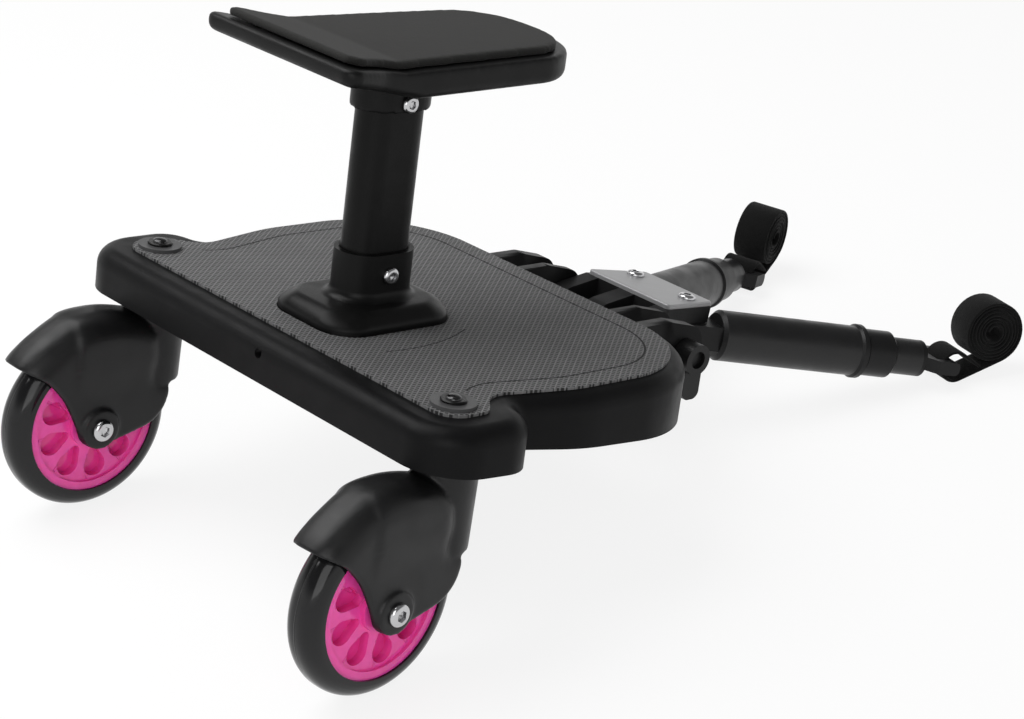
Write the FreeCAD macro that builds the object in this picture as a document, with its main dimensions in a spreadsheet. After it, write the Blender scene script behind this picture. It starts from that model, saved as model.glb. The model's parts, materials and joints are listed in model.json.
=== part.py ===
"""Buggy board: a ride-on board with two swivel casters, a saddle seat and a strapped-on coupling.

Millimetres, +Z up, +Y forward towards the straps, +X to the rider's right.
The board stands on its two wheels and on the strap loops at the ends of its arms.
"""
import FreeCAD
import Part
import Sketcher
import math
import os
import re
from types import SimpleNamespace

SIZES = {
    # fits shared by several pieces
    "run_gap": 0.3,
    "seat_gap": 0.05,
    "shaft_gap": 0.06,
    "overrun": 60.0,
    # how far the flat of a screw head reaches, and other shares of a size
    "crown_share": 0.75,
    "axle_crown_share": 0.67,
    "axle_rim_share": 0.33,
    "pivot_crown_share": 0.8,
    "heel_share": 0.9,
    "wing_tip_share": 0.75,
    "barrel_top_share": 0.67,
    "barrel_round_share": 0.75,
    "ring_bevel_share": 0.25,
    # stance
    "pivot_half": 140.5,
    "trail": 46.3,
    "deck_rise": 103.8,
    "turn_left_deg": -0.5,
    "turn_right_deg": 4.6,
    "coupler_drop_deg": 6.8,
    "most_lean_deg": 45.0,
    "arm_splay_deg": 21.3,
    # deck
    "ear_reach": 36.0,
    "ear_round": 33.0,
    "ear_front_round": 24.0,
    "ear_ahead": 33.0,
    "notch_half": 146.0,
    "notch_ahead": 40.0,
    "notch_round": 9.0,
    "flare_half": 158.5,
    "flare_ahead": 86.0,
    "flare_round": 110.0,
    "deck_front": 207.0,
    "front_round": 76.0,
    "shoulder": 11.0,
    "rear_depth": 26.0,
    "front_depth": 39.0,
    "boss_depth": 30.0,
    "deck_wall": 4.5,
    "skirt_wall": 5.0,
    "rib_wall": 2.6,
    "rib_depth": 15.0,
    "rib_side_step": 46.0,
    "rib_cross_start": 30.0,
    "rib_cross_step": 62.0,
    "boss_radius": 19.0,
    "drain_across": 12.0,
    "drain_radius": 3.0,
    "drain_below": 9.0,
    # mat
    "mat_thick": 1.6,
    "mat_inset": 10.0,
    "mat_rear_inset": 20.0,
    "mat_ear_round": 15.0,
    # seat socket and post
    "post_ahead": 51.3,
    "post_wide": 27.0,
    "post_long": 43.5,
    "post_wall": 2.5,
    "collar_wall": 3.6,
    "flange_ahead": 48.0,
    "flange_wide": 74.0,
    "flange_long": 92.0,
    "flange_round": 22.0,
    "flange_thick": 13.0,
    "flange_edge": 9.0,
    "socket_rise": 41.5,
    "socket_floor": 6.0,
    "socket_fillet": 6.0,
    "socket_screw_across": 27.0,
    "socket_screw_along": 35.0,
    "screw_radius": 2.0,
    "screw_head_radius": 3.8,
    "screw_head_thick": 2.4,
    "screw_bite": 6.0,
    "cross_bolt_radius": 3.0,
    "cross_head_radius": 5.4,
    "cross_head_thick": 3.0,
    "cross_nut_radius": 5.6,
    "cross_nut_thick": 5.0,
    "post_bolt_drop": 13.0,
    "seat_bolt_rise": 5.5,
    # seat
    "seat_collar_rise": 126.5,
    "seat_collar_depth": 24.0,
    "seat_under_rise": 142.0,
    "seat_pan_rise": 163.6,
    "seat_lip_rise": 171.0,
    "seat_lip_under": 160.0,
    "seat_back": 36.0,
    "seat_bend": 12.0,
    "seat_under_bend": 24.0,
    "seat_front": 173.0,
    "seat_rear_half": 71.0,
    "seat_waist_back": 3.0,
    "seat_waist_half": 60.0,
    "seat_nose_half": 50.0,
    "seat_rear_round": 8.0,
    "seat_waist_round": 26.0,
    "seat_nose_round": 46.0,
    "seat_under_edge": 7.0,
    "seat_top_edge": 2.5,
    "pad_thick": 4.5,
    "pad_inset": 7.0,
    "pad_rear_inset": 13.0,
    "pad_edge": 1.8,
    # swivel
    "washer_radius": 13.2,
    "washer_thick": 2.2,
    "bush_wall": 3.0,
    "bush_flange": 3.0,
    "bush_flange_thick": 1.6,
    "kingpin_radius": 5.0,
    "kingpin_head_radius": 7.6,
    "kingpin_dome_radius": 4.6,
    "kingpin_collar_thick": 1.4,
    "kingpin_dome_thick": 3.4,
    "kingpin_nut_radius": 7.6,
    "kingpin_nut_thick": 6.0,
    "kingpin_nut_rise": 47.0,
    # caster fork, measured from the axle in the wheel's plane
    "fork_half": 20.5,
    "hood_half": 19.2,
    "hood_radius": 68.5,
    "hood_arch": 14.0,
    "hood_end_deg": 142.0,
    "wheel_room": 2.6,
    "cheek_room": 4.0,
    "stem_radius": 19.5,
    "stem_rim": 4.0,
    "stem_foot_radius": 12.0,
    "stem_foot_rise": 49.0,
    "nape_ahead": 40.0,
    "nape_rise": 64.0,
    "chest_ahead": 57.0,
    "chest_rise": 51.0,
    "crown_radius": 70.5,
    "crease_back": 19.0,
    "waist_ahead": 48.0,
    "waist_rise": 30.0,
    "knee_ahead": 50.5,
    "knee_rise": 19.0,
    "shin_ahead": 45.0,
    "shin_rise": 7.0,
    "toe_ahead": 34.0,
    "toe_drop": 3.0,
    "hollow_back": 20.0,
    "hollow_rise": 15.0,
    "brow_back": 42.0,
    "brow_rise": 37.0,
    "axle_boss_radius": 13.6,
    "axle_boss_thick": 1.5,
    # wheel
    "wheel_dia": 110.0,
    "wheel_width": 24.0,
    "tread_round": 10.5,
    "core_radius": 43.3,
    "core_width": 21.0,
    "rim_wall": 5.0,
    "web_half": 8.6,
    "web_core": 2.6,
    "hub_radius": 15.0,
    "recess_radius": 7.4,
    "recess_tip_radius": 3.2,
    "recess_place": 29.0,
    "recess_tip_place": 19.5,
    "recess_count": 9,
    "axle_radius": 4.0,
    "bearing_radius": 11.0,
    "bearing_width": 7.0,
    "spacer_radius": 6.6,
    "axle_head_radius": 7.0,
    "axle_head_thick": 3.6,
    "axle_nut_radius": 7.2,
    "axle_nut_thick": 5.5,
    # hinge
    "rod_ahead": 248.8,
    "rod_below": 28.0,
    "rod_radius": 4.0,
    "lug_radius": 15.0,
    "lug_top": 5.5,
    "lug_round": 13.0,
    "outer_lug_inside": 64.5,
    "outer_lug_thick": 9.5,
    "inner_lug_inside": 40.0,
    "inner_lug_thick": 6.0,
    "rod_nut_radius": 7.0,
    "rod_nut_thick": 6.0,
    "knob_radius": 10.0,
    "knob_thick": 13.0,
    "knob_wing_reach": 27.0,
    "knob_wing_half": 7.0,
    "knob_wing_thick": 8.0,
    "knob_recess_radius": 5.6,
    "knob_recess_depth": 3.0,
    # coupler, measured from the rod
    "coupler_half": 39.0,
    "coupler_front_half": 32.5,
    "coupler_front": 63.0,
    "coupler_top": 16.2,
    "coupler_bottom": 21.0,
    "coupler_slope": 17.0,
    "coupler_barrel": 12.5,
    "pocket_inside": 7.0,
    "pocket_outside": 27.0,
    "pocket_ahead": 17.0,
    "plate_thick": 3.0,
    "plate_edge": 1.0,
    "plate_over": 1.6,
    "plate_inset": 1.0,
    "plate_round": 3.0,
    "slot_rib_half": 10.5,
    "slot_back": 34.0,
    # arms, measured along each arm from its pivot screw
    "pivot_across": 24.0,
    "pivot_ahead": 47.5,
    "pivot_radius": 4.0,
    "pivot_head_radius": 7.0,
    "pivot_head_thick": 2.8,
    "pivot_nut_radius": 6.6,
    "pivot_nut_thick": 5.0,
    "arm_below": 3.0,
    "tongue_thick": 16.0,
    "tongue_radius": 12.0,
    "tube_start": 28.0,
    "tube_end": 128.0,
    "tube_radius": 16.6,
    "tube_wall": 2.2,
    "root_cap": 2.5,
    "root_plug": 18.0,
    "ring_radius": 18.0,
    "ring_long": 6.5,
    "sleeve_radius": 15.6,
    "sleeve_end": 157.0,
    "sleeve_bevel": 2.5,
    "slider_radius": 12.2,
    "slider_wall": 2.2,
    "slider_start": 50.0,
    "slider_end": 178.0,
    "slider_foot": 9.0,
    "guide_gap": 0.1,
    # eye and strap
    "eye_cap": 3.0,
    "eye_plug": 14.0,
    "eye_half": 19.0,
    "eye_neck_half": 11.0,
    "eye_front": 203.0,
    "eye_bar": 8.0,
    "eye_slot_back": 187.0,
    "eye_thick": 9.0,
    "eye_round": 3.6,
    "strap_wide": 25.0,
    "strap_side_gap": 0.8,
    "strap_thick": 2.0,
    "strap_turn_gap": 0.6,
    "loop_radius": 10.0,
    "loop_mouth": 17.0,
    "roll_ahead": 21.0,
    "roll_above": 27.5,
    "roll_radius": 19.0,
    "roll_core": 4.0,
}

# Sizes that follow from the ones above, as text that the sheet can work out.
DERIVED = {
    "wheel_radius": "wheel_dia / 2",
    "ear_half": "pivot_half + ear_reach",
    "bush_radius": "kingpin_radius + shaft_gap + bush_wall",
    "stem_top": "deck_rise - boss_depth - bush_flange_thick - run_gap",
    "room_radius": "wheel_radius + wheel_room",
    "room_half": "wheel_width / 2 + cheek_room",
    "axle_face": "fork_half + axle_boss_thick",
    "collar_wide": "post_wide + 2 * collar_wall",
    "collar_long": "post_long + 2 * collar_wall",
    "outer_lug_outside": "outer_lug_inside + outer_lug_thick",
    "plate_top": "coupler_top + plate_thick",
    "slot_half": "tongue_thick / 2 + run_gap",
    "tube_bore": "tube_radius - tube_wall",
    "ring_end": "tube_end + ring_long",
    "loop_ahead": "eye_front - eye_bar - run_gap - strap_thick / 2 + loop_radius",
}

WORD = re.compile(r"[a-z_][a-z_0-9]*")
# How near an edge lies to the place by which it is picked, as a share of the place's own scale.
NEAR_SHARE = 1e-4
X_AXIS = FreeCAD.Vector(1, 0, 0)
Y_AXIS = FreeCAD.Vector(0, 1, 0)
Z_AXIS = FreeCAD.Vector(0, 0, 1)
SIDES = {"left": -1, "right": 1}

doc = FreeCAD.newDocument("BuggyBoard")
sheet = doc.addObject("Spreadsheet::Sheet", "Sizes")
trial = doc.addObject("Spreadsheet::Sheet", "Trial")
for row, (alias, value) in enumerate(SIZES.items(), start=1):
    sheet.set("A%d" % row, alias)
    sheet.set("B%d" % row, str(value))
    sheet.setAlias("B%d" % row, alias)
doc.recompute()
NODES = {}


def linked(text):
    """Text with derived names written out and each sheet name as a reading of the sheet."""
    def swap(match):
        word = match.group()
        if word in DERIVED:
            return "(" + linked(DERIVED[word]) + ")"
        return "Sizes." + word if word in SIZES else word
    return WORD.sub(swap, text)


def number(text):
    """The text's present value, worked out in a cell of a second sheet that nothing reads."""
    trial.set("A1", "=" + linked(text))
    trial.recompute()
    return float(trial.get("A1"))


S = SimpleNamespace(**{name: float(sheet.get(name)) for name in SIZES})
V = SimpleNamespace(**{name: number(name) for name in DERIVED})


def shift(x, y, z):
    return FreeCAD.Placement(FreeCAD.Vector(x, y, z), FreeCAD.Rotation())


def turn(axis, degrees):
    return FreeCAD.Placement(FreeCAD.Vector(), FreeCAD.Rotation(axis, degrees))


def deck_frame(lean):
    """Deck top between the two swivels, with the axles over the origin."""
    return shift(0, 0, V.wheel_radius) * turn(X_AXIS, -lean) * shift(0, S.trail, S.deck_rise)


def coupler_frame(lean):
    return deck_frame(lean) * shift(0, S.rod_ahead, -S.rod_below) * turn(X_AXIS, -S.coupler_drop_deg)


def arm_frame(lean, side):
    """Pivot of one arm, with +Y along the arm."""
    pivot = shift(side * S.pivot_across, S.pivot_ahead, -S.arm_below)
    return coupler_frame(lean) * pivot * turn(Z_AXIS, -side * S.arm_splay_deg)


def loop_height(lean):
    """Height of the strap loop's lowest point over the floor when the deck leans by so many degrees."""
    frame = arm_frame(lean, SIDES["right"])
    centre = frame.multVec(FreeCAD.Vector(0, V.loop_ahead, 0))
    across = frame.Rotation.multVec(X_AXIS)
    reach = (S.loop_radius + S.strap_thick / 2) * math.sqrt(1 - across.z ** 2)
    return centre.z - reach - abs(across.z) * S.strap_wide / 2


def resting_lean():
    """Lean at which the wheels and the strap loops stand on one floor, found by halving."""
    upright, tipped = 0.0, S.most_lean_deg
    for _ in range(60):
        middle = (upright + tipped) / 2
        if loop_height(middle) > 0:
            upright = middle
        else:
            tipped = middle
    return (upright + tipped) / 2


LEAN = resting_lean()
DECK = deck_frame(LEAN)
COUPLER = coupler_frame(LEAN)
ALONG_X = turn(Y_AXIS, 90)


def new_body(label, frame):
    body = doc.addObject("PartDesign::Body", label)
    body.Label = label
    body.Placement = frame
    return body


def keep(label, thing):
    NODES[label] = thing
    return thing


def sketch_on(body, role, rise="0"):
    """Empty sketch on one of the body's own planes, raised along the plane's normal."""
    sketch = body.newObject("Sketcher::SketchObject", "Sketch")
    plane = next(item for item in body.Origin.OriginFeatures if item.Role == role)
    sketch.AttachmentSupport = [(plane, "")]
    sketch.MapMode = "FlatFace"
    sketch.setExpression("AttachmentOffset.Base.z", linked(rise))
    return sketch


def pin(sketch, geometry, point, place):
    """Hold a point of the sketch at a place given as two texts."""
    for kind, text in zip(("DistanceX", "DistanceY"), place):
        held = number(text)
        if held == 0:
            onto = Sketcher.Constraint("PointOnObject", geometry, point, -2 if kind == "DistanceX" else -1)
            sketch.addConstraint(onto)
            continue
        index = sketch.addConstraint(Sketcher.Constraint(kind, geometry, point, held))
        sketch.setExpression("Constraints[%d]" % index, linked(text))


def outline(sketch, places):
    """Closed outline of straight runs through the places."""
    points = [FreeCAD.Vector(number(x), number(y), 0) for x, y in places]
    first = sketch.GeometryCount
    count = len(points)
    for index, start in enumerate(points):
        sketch.addGeometry(Part.LineSegment(start, points[(index + 1) % count]), False)
    for index in range(count):
        following = first + (index + 1) % count
        sketch.addConstraint(Sketcher.Constraint("Coincident", first + index, 2, following, 1))
    for index, place in enumerate(places):
        pin(sketch, first + index, 1, place)


def mirrored(places):
    """The places, then their mirror images across the sketch's upright axis in reverse."""
    return places + [("-(%s)" % x, y) for x, y in reversed(places)]


def box(sketch, x_from, x_to, y_from, y_to):
    outline(sketch, [(x_from, y_from), (x_to, y_from), (x_to, y_to), (x_from, y_to)])


def ring(sketch, x, y, radius):
    centre = FreeCAD.Vector(number(x), number(y), 0)
    index = sketch.addGeometry(Part.Circle(centre, Z_AXIS, number(radius)), False)
    pin(sketch, index, 3, (x, y))
    size = sketch.addConstraint(Sketcher.Constraint("Radius", index, number(radius)))
    sketch.setExpression("Constraints[%d]" % size, linked(radius))


def feature(body, kind, sketch):
    made = body.newObject("PartDesign::" + kind, kind)
    made.Profile = sketch
    return made


def settle(body, made, grows):
    """Work the feature out and make sure that it changed the body as it should."""
    before = made.BaseFeature.Shape.Volume if made.BaseFeature else 0
    doc.recompute()
    change = made.Shape.Volume - before
    if change == 0 or (change > 0) != grows:
        raise RuntimeError("%s of %s did not change its body" % (made.Name, body.Label))
    return made


def pad(body, sketch, length, both=False, back=False):
    made = feature(body, "Pad", sketch)
    made.setExpression("Length", linked(length))
    made.SideType = "Symmetric" if both else "One side"
    made.Reversed = back
    return settle(body, made, True)


def pocket(body, sketch, length=None, both=False, back=False):
    made = feature(body, "Pocket", sketch)
    if length is None:
        made.Type = "ThroughAll"
    else:
        made.setExpression("Length", linked(length))
    made.SideType = "Symmetric" if both else "One side"
    made.Reversed = back
    return settle(body, made, False)


def revolve(body, sketch, axis="V_Axis", angle=None, back=False):
    made = feature(body, "Revolution", sketch)
    made.ReferenceAxis = (sketch, [axis])
    if angle is not None:
        made.setExpression("Angle", linked(angle))
    made.Reversed = back
    return settle(body, made, True)


def dress(body, kind, size_name, size, chosen):
    """Fillet or chamfer on the edges that the test picks."""
    base = body.Tip
    names = ["Edge%d" % count for count, edge in enumerate(base.Shape.Edges, 1) if chosen(edge)]
    if not names:
        raise RuntimeError("no edge to dress on " + body.Label)
    made = body.newObject("PartDesign::" + kind, kind)
    made.Base = (base, names)
    made.setExpression(size_name, linked(size))
    doc.recompute()
    return made


def rounded(body, radius, chosen):
    return dress(body, "Fillet", "Radius", radius, chosen)


def same(a, b):
    return abs(a - b) <= NEAR_SHARE * max(abs(a), abs(b), 1)


def is_straight(edge):
    return isinstance(edge.Curve, (Part.Line, Part.LineSegment))


def upright_at(x, y):
    """Test for straight upright edges over a place."""
    def chosen(edge):
        if not is_straight(edge):
            return False
        ends = [vertex.Point for vertex in edge.Vertexes]
        return all(same(end.x, x) and same(end.y, y) for end in ends)
    return chosen


def any_of(*tests):
    def chosen(edge):
        return any(test(edge) for test in tests)
    return chosen


def level_at(z):
    """Test for edges that lie wholly at one height."""
    def chosen(edge):
        box_of = edge.BoundBox
        return same(box_of.ZMin, z) and same(box_of.ZMax, z)
    return chosen


def across_at(y, z):
    """Test for straight edges along X through a place."""
    def chosen(edge):
        if not is_straight(edge):
            return False
        ends = [vertex.Point for vertex in edge.Vertexes]
        return all(same(end.y, y) and same(end.z, z) for end in ends)
    return chosen


def circle_of(radius):
    """Test for round edges of one radius."""
    def chosen(edge):
        return isinstance(edge.Curve, Part.Circle) and same(edge.Curve.Radius, radius)
    return chosen


def turned(label, frame, profile):
    """Piece turned about its own Z from an outline of radii and heights."""
    body = new_body(label, frame)
    sketch = sketch_on(body, "XZ_Plane")
    outline(sketch, profile)
    revolve(body, sketch)
    return keep(label, body)


def tube(inner, outer, low, high):
    """Outline of a plain ring for turning."""
    return [(inner, low), (outer, low), (outer, high), (inner, high)]


def capsule(sketch, low, high, low_radius, high_radius):
    """Outline of two round ends on the sketch's upright axis, joined by tangent sides."""
    centres = [FreeCAD.Vector(0, number(high), 0), FreeCAD.Vector(0, number(low), 0)]
    radii = [number(high_radius), number(low_radius)]
    lean = math.asin((radii[1] - radii[0]) / (centres[0].y - centres[1].y))
    spans = [(lean, math.pi - lean), (math.pi - lean, 2 * math.pi + lean)]
    arcs = []
    for centre, radius, span in zip(centres, radii, spans):
        arcs.append(Part.ArcOfCircle(Part.Circle(centre, Z_AXIS, radius), *span))
        sketch.addGeometry(arcs[-1], False)
    sketch.addGeometry(Part.LineSegment(arcs[0].EndPoint, arcs[1].StartPoint), False)
    sketch.addGeometry(Part.LineSegment(arcs[1].EndPoint, arcs[0].StartPoint), False)
    for joint in ((0, 2, 2, 1), (2, 2, 1, 1), (1, 2, 3, 1), (3, 2, 0, 1)):
        sketch.addConstraint(Sketcher.Constraint("Tangent", *joint))
    for index, (rise, radius) in enumerate(((high, high_radius), (low, low_radius))):
        pin(sketch, index, 3, ("0", rise))
        size = sketch.addConstraint(Sketcher.Constraint("Radius", index, number(radius)))
        sketch.setExpression("Constraints[%d]" % size, linked(radius))


def oval(sketch, wide, long, ahead):
    """Section of the seat post and of what fits round it: flat sides and round ends."""
    flat = "((%s) - (%s)) / 2" % (long, wide)
    half = "(%s) / 2" % wide
    capsule(sketch, "%s - %s" % (ahead, flat), "%s + %s" % (ahead, flat), half, half)


def studs(label, frame, places, steps):
    """Like fasteners in one node: round steps, each with a radius and two heights, at several places."""
    body = new_body(label, frame)
    body.AllowCompound = True
    for radius, low, high in steps:
        sketch = sketch_on(body, "XY_Plane", low)
        for x, y in places:
            ring(sketch, x, y, radius)
        pad(body, sketch, "(%s) - (%s)" % (high, low))
    return keep(label, body)


def drilled(body, role, places, radius):
    """Round holes right through, square to one of the body's planes."""
    sketch = sketch_on(body, role)
    for x, y in places:
        ring(sketch, x, y, radius)
    return pocket(body, sketch, both=True)


def deck_places(inset, ear_inset):
    """Plan of the deck, drawn in from its edge: two ears, a notch, a flared side and a straight front."""
    right = [
        ("ear_half - %s" % ear_inset, "%s - ear_reach" % ear_inset),
        ("ear_half - %s" % ear_inset, "ear_ahead - %s" % ear_inset),
        ("notch_half - %s" % inset, "notch_ahead - %s" % inset),
        ("flare_half - %s" % inset, "flare_ahead"),
        ("flare_half - %s" % inset, "deck_front - %s" % inset),
    ]
    return mirrored(right)


def corner(place):
    """Test for the upright edges over a place and over its mirror image."""
    x, y = number(place[0]), number(place[1])
    return any_of(upright_at(x, y), upright_at(-x, y))


def socket_screw_places():
    return [("%d * socket_screw_across" % side, "flange_ahead + %d * socket_screw_along" % end)
            for side in (-1, 1) for end in (-1, 1)]


def make_deck_tray():
    """Deck without its inner ribs: a hollow tray with round corners and a soft shoulder."""
    body = new_body("deck_tray", FreeCAD.Placement())
    places = deck_places("0", "0")
    hollow = deck_places("skirt_wall", "skirt_wall")
    sketch = sketch_on(body, "XY_Plane")
    outline(sketch, places)
    pad(body, sketch, "front_depth", back=True)
    sketch = sketch_on(body, "XY_Plane", "-deck_wall")
    outline(sketch, hollow)
    pocket(body, sketch)
    rounds = ("ear_round", "ear_front_round", "notch_round", "flare_round", "front_round")
    for index in (0, 1, 4):
        rounded(body, rounds[index] + " - skirt_wall", corner(hollow[index]))
    for place, radius in zip(places, rounds):
        rounded(body, radius, corner(place))
    rounded(body, "shoulder", level_at(0))
    return body


def make_deck_ribs():
    """Lengthwise and crosswise ribs under the deck's top, and a boss in each ear."""
    body = new_body("deck_ribs", FreeCAD.Placement())
    body.AllowCompound = True
    depth = "rib_depth + deck_wall"
    length = "rib_depth + deck_wall / 2"
    sketch = sketch_on(body, "XY_Plane", "-(%s)" % depth)
    for count in (-2, -1, 1, 2):
        middle = "%d * rib_side_step" % count
        box(sketch, middle + " - rib_wall / 2", middle + " + rib_wall / 2",
            "skirt_wall / 2 - ear_reach", "deck_front - skirt_wall / 2")
    pad(body, sketch, length)
    sketch = sketch_on(body, "XY_Plane", "-(%s)" % depth)
    for count in range(3):
        middle = "rib_cross_start + %d * rib_cross_step" % count
        box(sketch, "skirt_wall / 2 - notch_half", "notch_half - skirt_wall / 2",
            middle + " - rib_wall / 2", middle + " + rib_wall / 2")
    pad(body, sketch, length)
    sketch = sketch_on(body, "XY_Plane", "-boss_depth")
    for side in ("-pivot_half", "pivot_half"):
        ring(sketch, side, "0", "boss_radius")
    pad(body, sketch, "boss_depth - deck_wall / 2")
    return body


def make_lugs():
    """Two pairs of humped lugs that stand out from the deck's front."""
    body = new_body("deck_lugs", FreeCAD.Placement())
    body.AllowCompound = True
    places = [
        ("deck_front - skirt_wall / 2", "-lug_top"),
        ("rod_ahead - lug_radius", "-lug_top"),
        ("rod_ahead + lug_radius", "lug_radius - rod_below"),
        ("rod_ahead + lug_radius", "-lug_radius - rod_below"),
        ("rod_ahead - lug_radius", "-lug_radius - rod_below"),
        ("deck_front - skirt_wall / 2", "skirt_wall - front_depth"),
    ]
    for inside, thick in (("outer_lug_inside", "outer_lug_thick"), ("inner_lug_inside", "inner_lug_thick")):
        for start in (inside, "-%s - %s" % (inside, thick)):
            sketch = sketch_on(body, "YZ_Plane", start)
            outline(sketch, places)
            pad(body, sketch, thick)
    bends = [across_at(number(y), number(z)) for y, z in places[1:5]]
    rounded(body, "lug_round", any_of(*bends))
    return body


def make_underside():
    """Wedge below the deck: its underside slopes down from the ears to the front."""
    body = new_body("deck_underside", FreeCAD.Placement())
    fall = "(front_depth - rear_depth) * overrun / (deck_front + ear_reach)"
    sketch = sketch_on(body, "YZ_Plane")
    outline(sketch, [
        ("-ear_reach - overrun", "%s - rear_depth" % fall),
        ("deck_front", "-front_depth"),
        ("-ear_reach - overrun", "-front_depth"),
    ])
    pad(body, sketch, "2 * (ear_half + overrun)", both=True)
    return body


def make_deck_shell():
    down = "deck_rise"
    top = number("-" + down) / 2
    drills = [make_underside()]
    for side in SIDES.values():
        place = shift(side * S.pivot_half, 0, top)
        drills.append(cylinder("bush_radius + seat_gap", down, place))
    for x, y in socket_screw_places():
        drills.append(cylinder("screw_radius + seat_gap", down, shift(number(x), number(y), top)))
    reach = number("ear_half")
    rod = shift(-reach, S.rod_ahead, -S.rod_below) * ALONG_X
    drills.append(cylinder("rod_radius + seat_gap", "2 * ear_half", rod))
    drain = shift(S.drain_across, 0, -S.drain_below) * turn(X_AXIS, 90)
    drills.append(cylinder("drain_radius", "ear_reach + overrun", drain))
    cut_from("deck_shell", DECK, [make_deck_tray(), make_deck_ribs(), make_lugs()], drills)


def cut_from(label, frame, solids, drills):
    """Fuse the solids, cut the drills out of them and keep the result as one piece."""
    whole = doc.addObject("Part::MultiFuse", label + "_whole")
    whole.Shapes = solids
    holes = doc.addObject("Part::MultiFuse", label + "_holes")
    holes.Shapes = drills
    piece = doc.addObject("Part::Cut", label)
    piece.Base = whole
    piece.Tool = holes
    piece.Label = label
    doc.recompute()
    if not piece.Shape.Volume < whole.Shape.Volume:
        raise RuntimeError("nothing was cut out of " + label)
    piece.Placement = frame
    return keep(label, piece)


def cylinder(radius, height, place):
    """Plain round bar for cutting."""
    bar = doc.addObject("Part::Cylinder", "Bar")
    bar.setExpression("Radius", linked(radius))
    bar.setExpression("Height", linked(height))
    bar.Placement = place
    return bar


def make_deck_mat():
    body = new_body("deck_mat", DECK)
    places = deck_places("mat_inset", "mat_rear_inset")
    sketch = sketch_on(body, "XY_Plane")
    outline(sketch, places)
    pad(body, sketch, "mat_thick")
    rounds = ("mat_ear_round", "mat_ear_round / 2", "notch_round + mat_inset", "flare_round - mat_inset",
              "front_round - mat_inset")
    for place, radius in zip(places, rounds):
        rounded(body, radius, corner(place))
    sketch = sketch_on(body, "XY_Plane")
    box(sketch, "-flange_wide / 2 - run_gap", "flange_wide / 2 + run_gap",
        "flange_ahead - flange_long / 2 - run_gap", "flange_ahead + flange_long / 2 + run_gap")
    pocket(body, sketch, both=True)
    reach = number("flange_wide / 2 + run_gap")
    ends = [number("flange_ahead - flange_long / 2 - run_gap"), number("flange_ahead + flange_long / 2 + run_gap")]
    rounded(body, "flange_round", any_of(*[corner((str(reach), str(end))) for end in ends]))
    drilled(body, "XY_Plane", [("-pivot_half", "0"), ("pivot_half", "0")], "bush_radius + run_gap")
    return keep("deck_mat", body)


def make_socket():
    body = new_body("seat_socket", DECK)
    sketch = sketch_on(body, "XY_Plane")
    low = "flange_ahead - flange_long / 2"
    high = "flange_ahead + flange_long / 2"
    box(sketch, "-flange_wide / 2", "flange_wide / 2", low, high)
    pad(body, sketch, "flange_thick")
    rounded(body, "flange_round", any_of(corner(("flange_wide / 2", low)), corner(("flange_wide / 2", high))))
    rounded(body, "flange_edge", level_at(S.flange_thick))
    sketch = sketch_on(body, "XY_Plane")
    oval(sketch, "collar_wide", "collar_long", "post_ahead")
    pad(body, sketch, "socket_rise")
    near = number("collar_long") / 2
    rounded(body, "socket_fillet", meets_collar(S.flange_thick, near))
    sketch = sketch_on(body, "XY_Plane", "socket_rise")
    oval(sketch, "post_wide + 2 * seat_gap", "post_long + 2 * seat_gap", "post_ahead")
    pocket(body, sketch, "socket_rise - socket_floor")
    sketch = sketch_on(body, "XY_Plane")
    for x, y in socket_screw_places():
        ring(sketch, x, y, "screw_radius + seat_gap")
    pocket(body, sketch, "screw_bite + seat_gap", back=True)
    drilled(body, "YZ_Plane", [("post_ahead", "socket_rise - post_bolt_drop")], "cross_bolt_radius + seat_gap")
    return keep("seat_socket", body)


def meets_collar(z, reach):
    """Test for the edges at one height that go round the collar and not round the flange."""
    def chosen(edge):
        if not level_at(z)(edge):
            return False
        return all(abs(vertex.Point.y - S.post_ahead) <= reach for vertex in edge.Vertexes) and all(
            abs(vertex.Point.x) <= reach * S.post_wide / S.post_long + S.collar_wall for vertex in edge.Vertexes)
    return chosen


def make_post():
    body = new_body("seat_post", DECK)
    sketch = sketch_on(body, "XY_Plane", "socket_floor")
    oval(sketch, "post_wide", "post_long", "post_ahead")
    oval_bore = ("post_wide - 2 * post_wall", "post_long - 2 * post_wall")
    length = "seat_collar_rise + seat_collar_depth - socket_floor - seat_gap"
    pad(body, sketch, length)
    sketch = sketch_on(body, "XY_Plane", "socket_floor")
    oval(sketch, *oval_bore, "post_ahead")
    pocket(body, sketch, both=True)
    holes = [("post_ahead", "socket_rise - post_bolt_drop"), ("post_ahead", "seat_collar_rise + seat_bolt_rise")]
    drilled(body, "YZ_Plane", holes, "cross_bolt_radius + seat_gap")
    return keep("seat_post", body)


def make_cross_bolt(name, rise):
    """Bolt across the post with a round head on the right and a nut on the left."""
    frame = DECK * shift(0, S.post_ahead, number(rise)) * ALONG_X
    face = "collar_wide / 2"
    turned(name + "_bolt", frame, [
        ("0", "-%s - cross_nut_thick" % face),
        ("cross_bolt_radius", "-%s - cross_nut_thick" % face),
        ("cross_bolt_radius", face),
        ("cross_head_radius", face),
        ("cross_head_radius", face + " + cross_head_thick / 2"),
        ("cross_head_radius * crown_share", face + " + cross_head_thick"),
        ("0", face + " + cross_head_thick"),
    ])
    turned(name + "_nut", frame, tube("cross_bolt_radius + seat_gap", "cross_nut_radius",
                                      "-%s - cross_nut_thick" % face, "-" + face))


def seat_places(inset, rear_inset):
    """Plan of the saddle: a wide rear that narrows to a waist and runs on to a round nose."""
    right = [
        ("seat_rear_half - %s" % inset, "%s - seat_back" % rear_inset),
        ("seat_waist_half - %s" % inset, "-seat_waist_back"),
        ("seat_nose_half - %s" % inset, "seat_front - %s" % inset),
    ]
    return mirrored(right)


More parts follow.
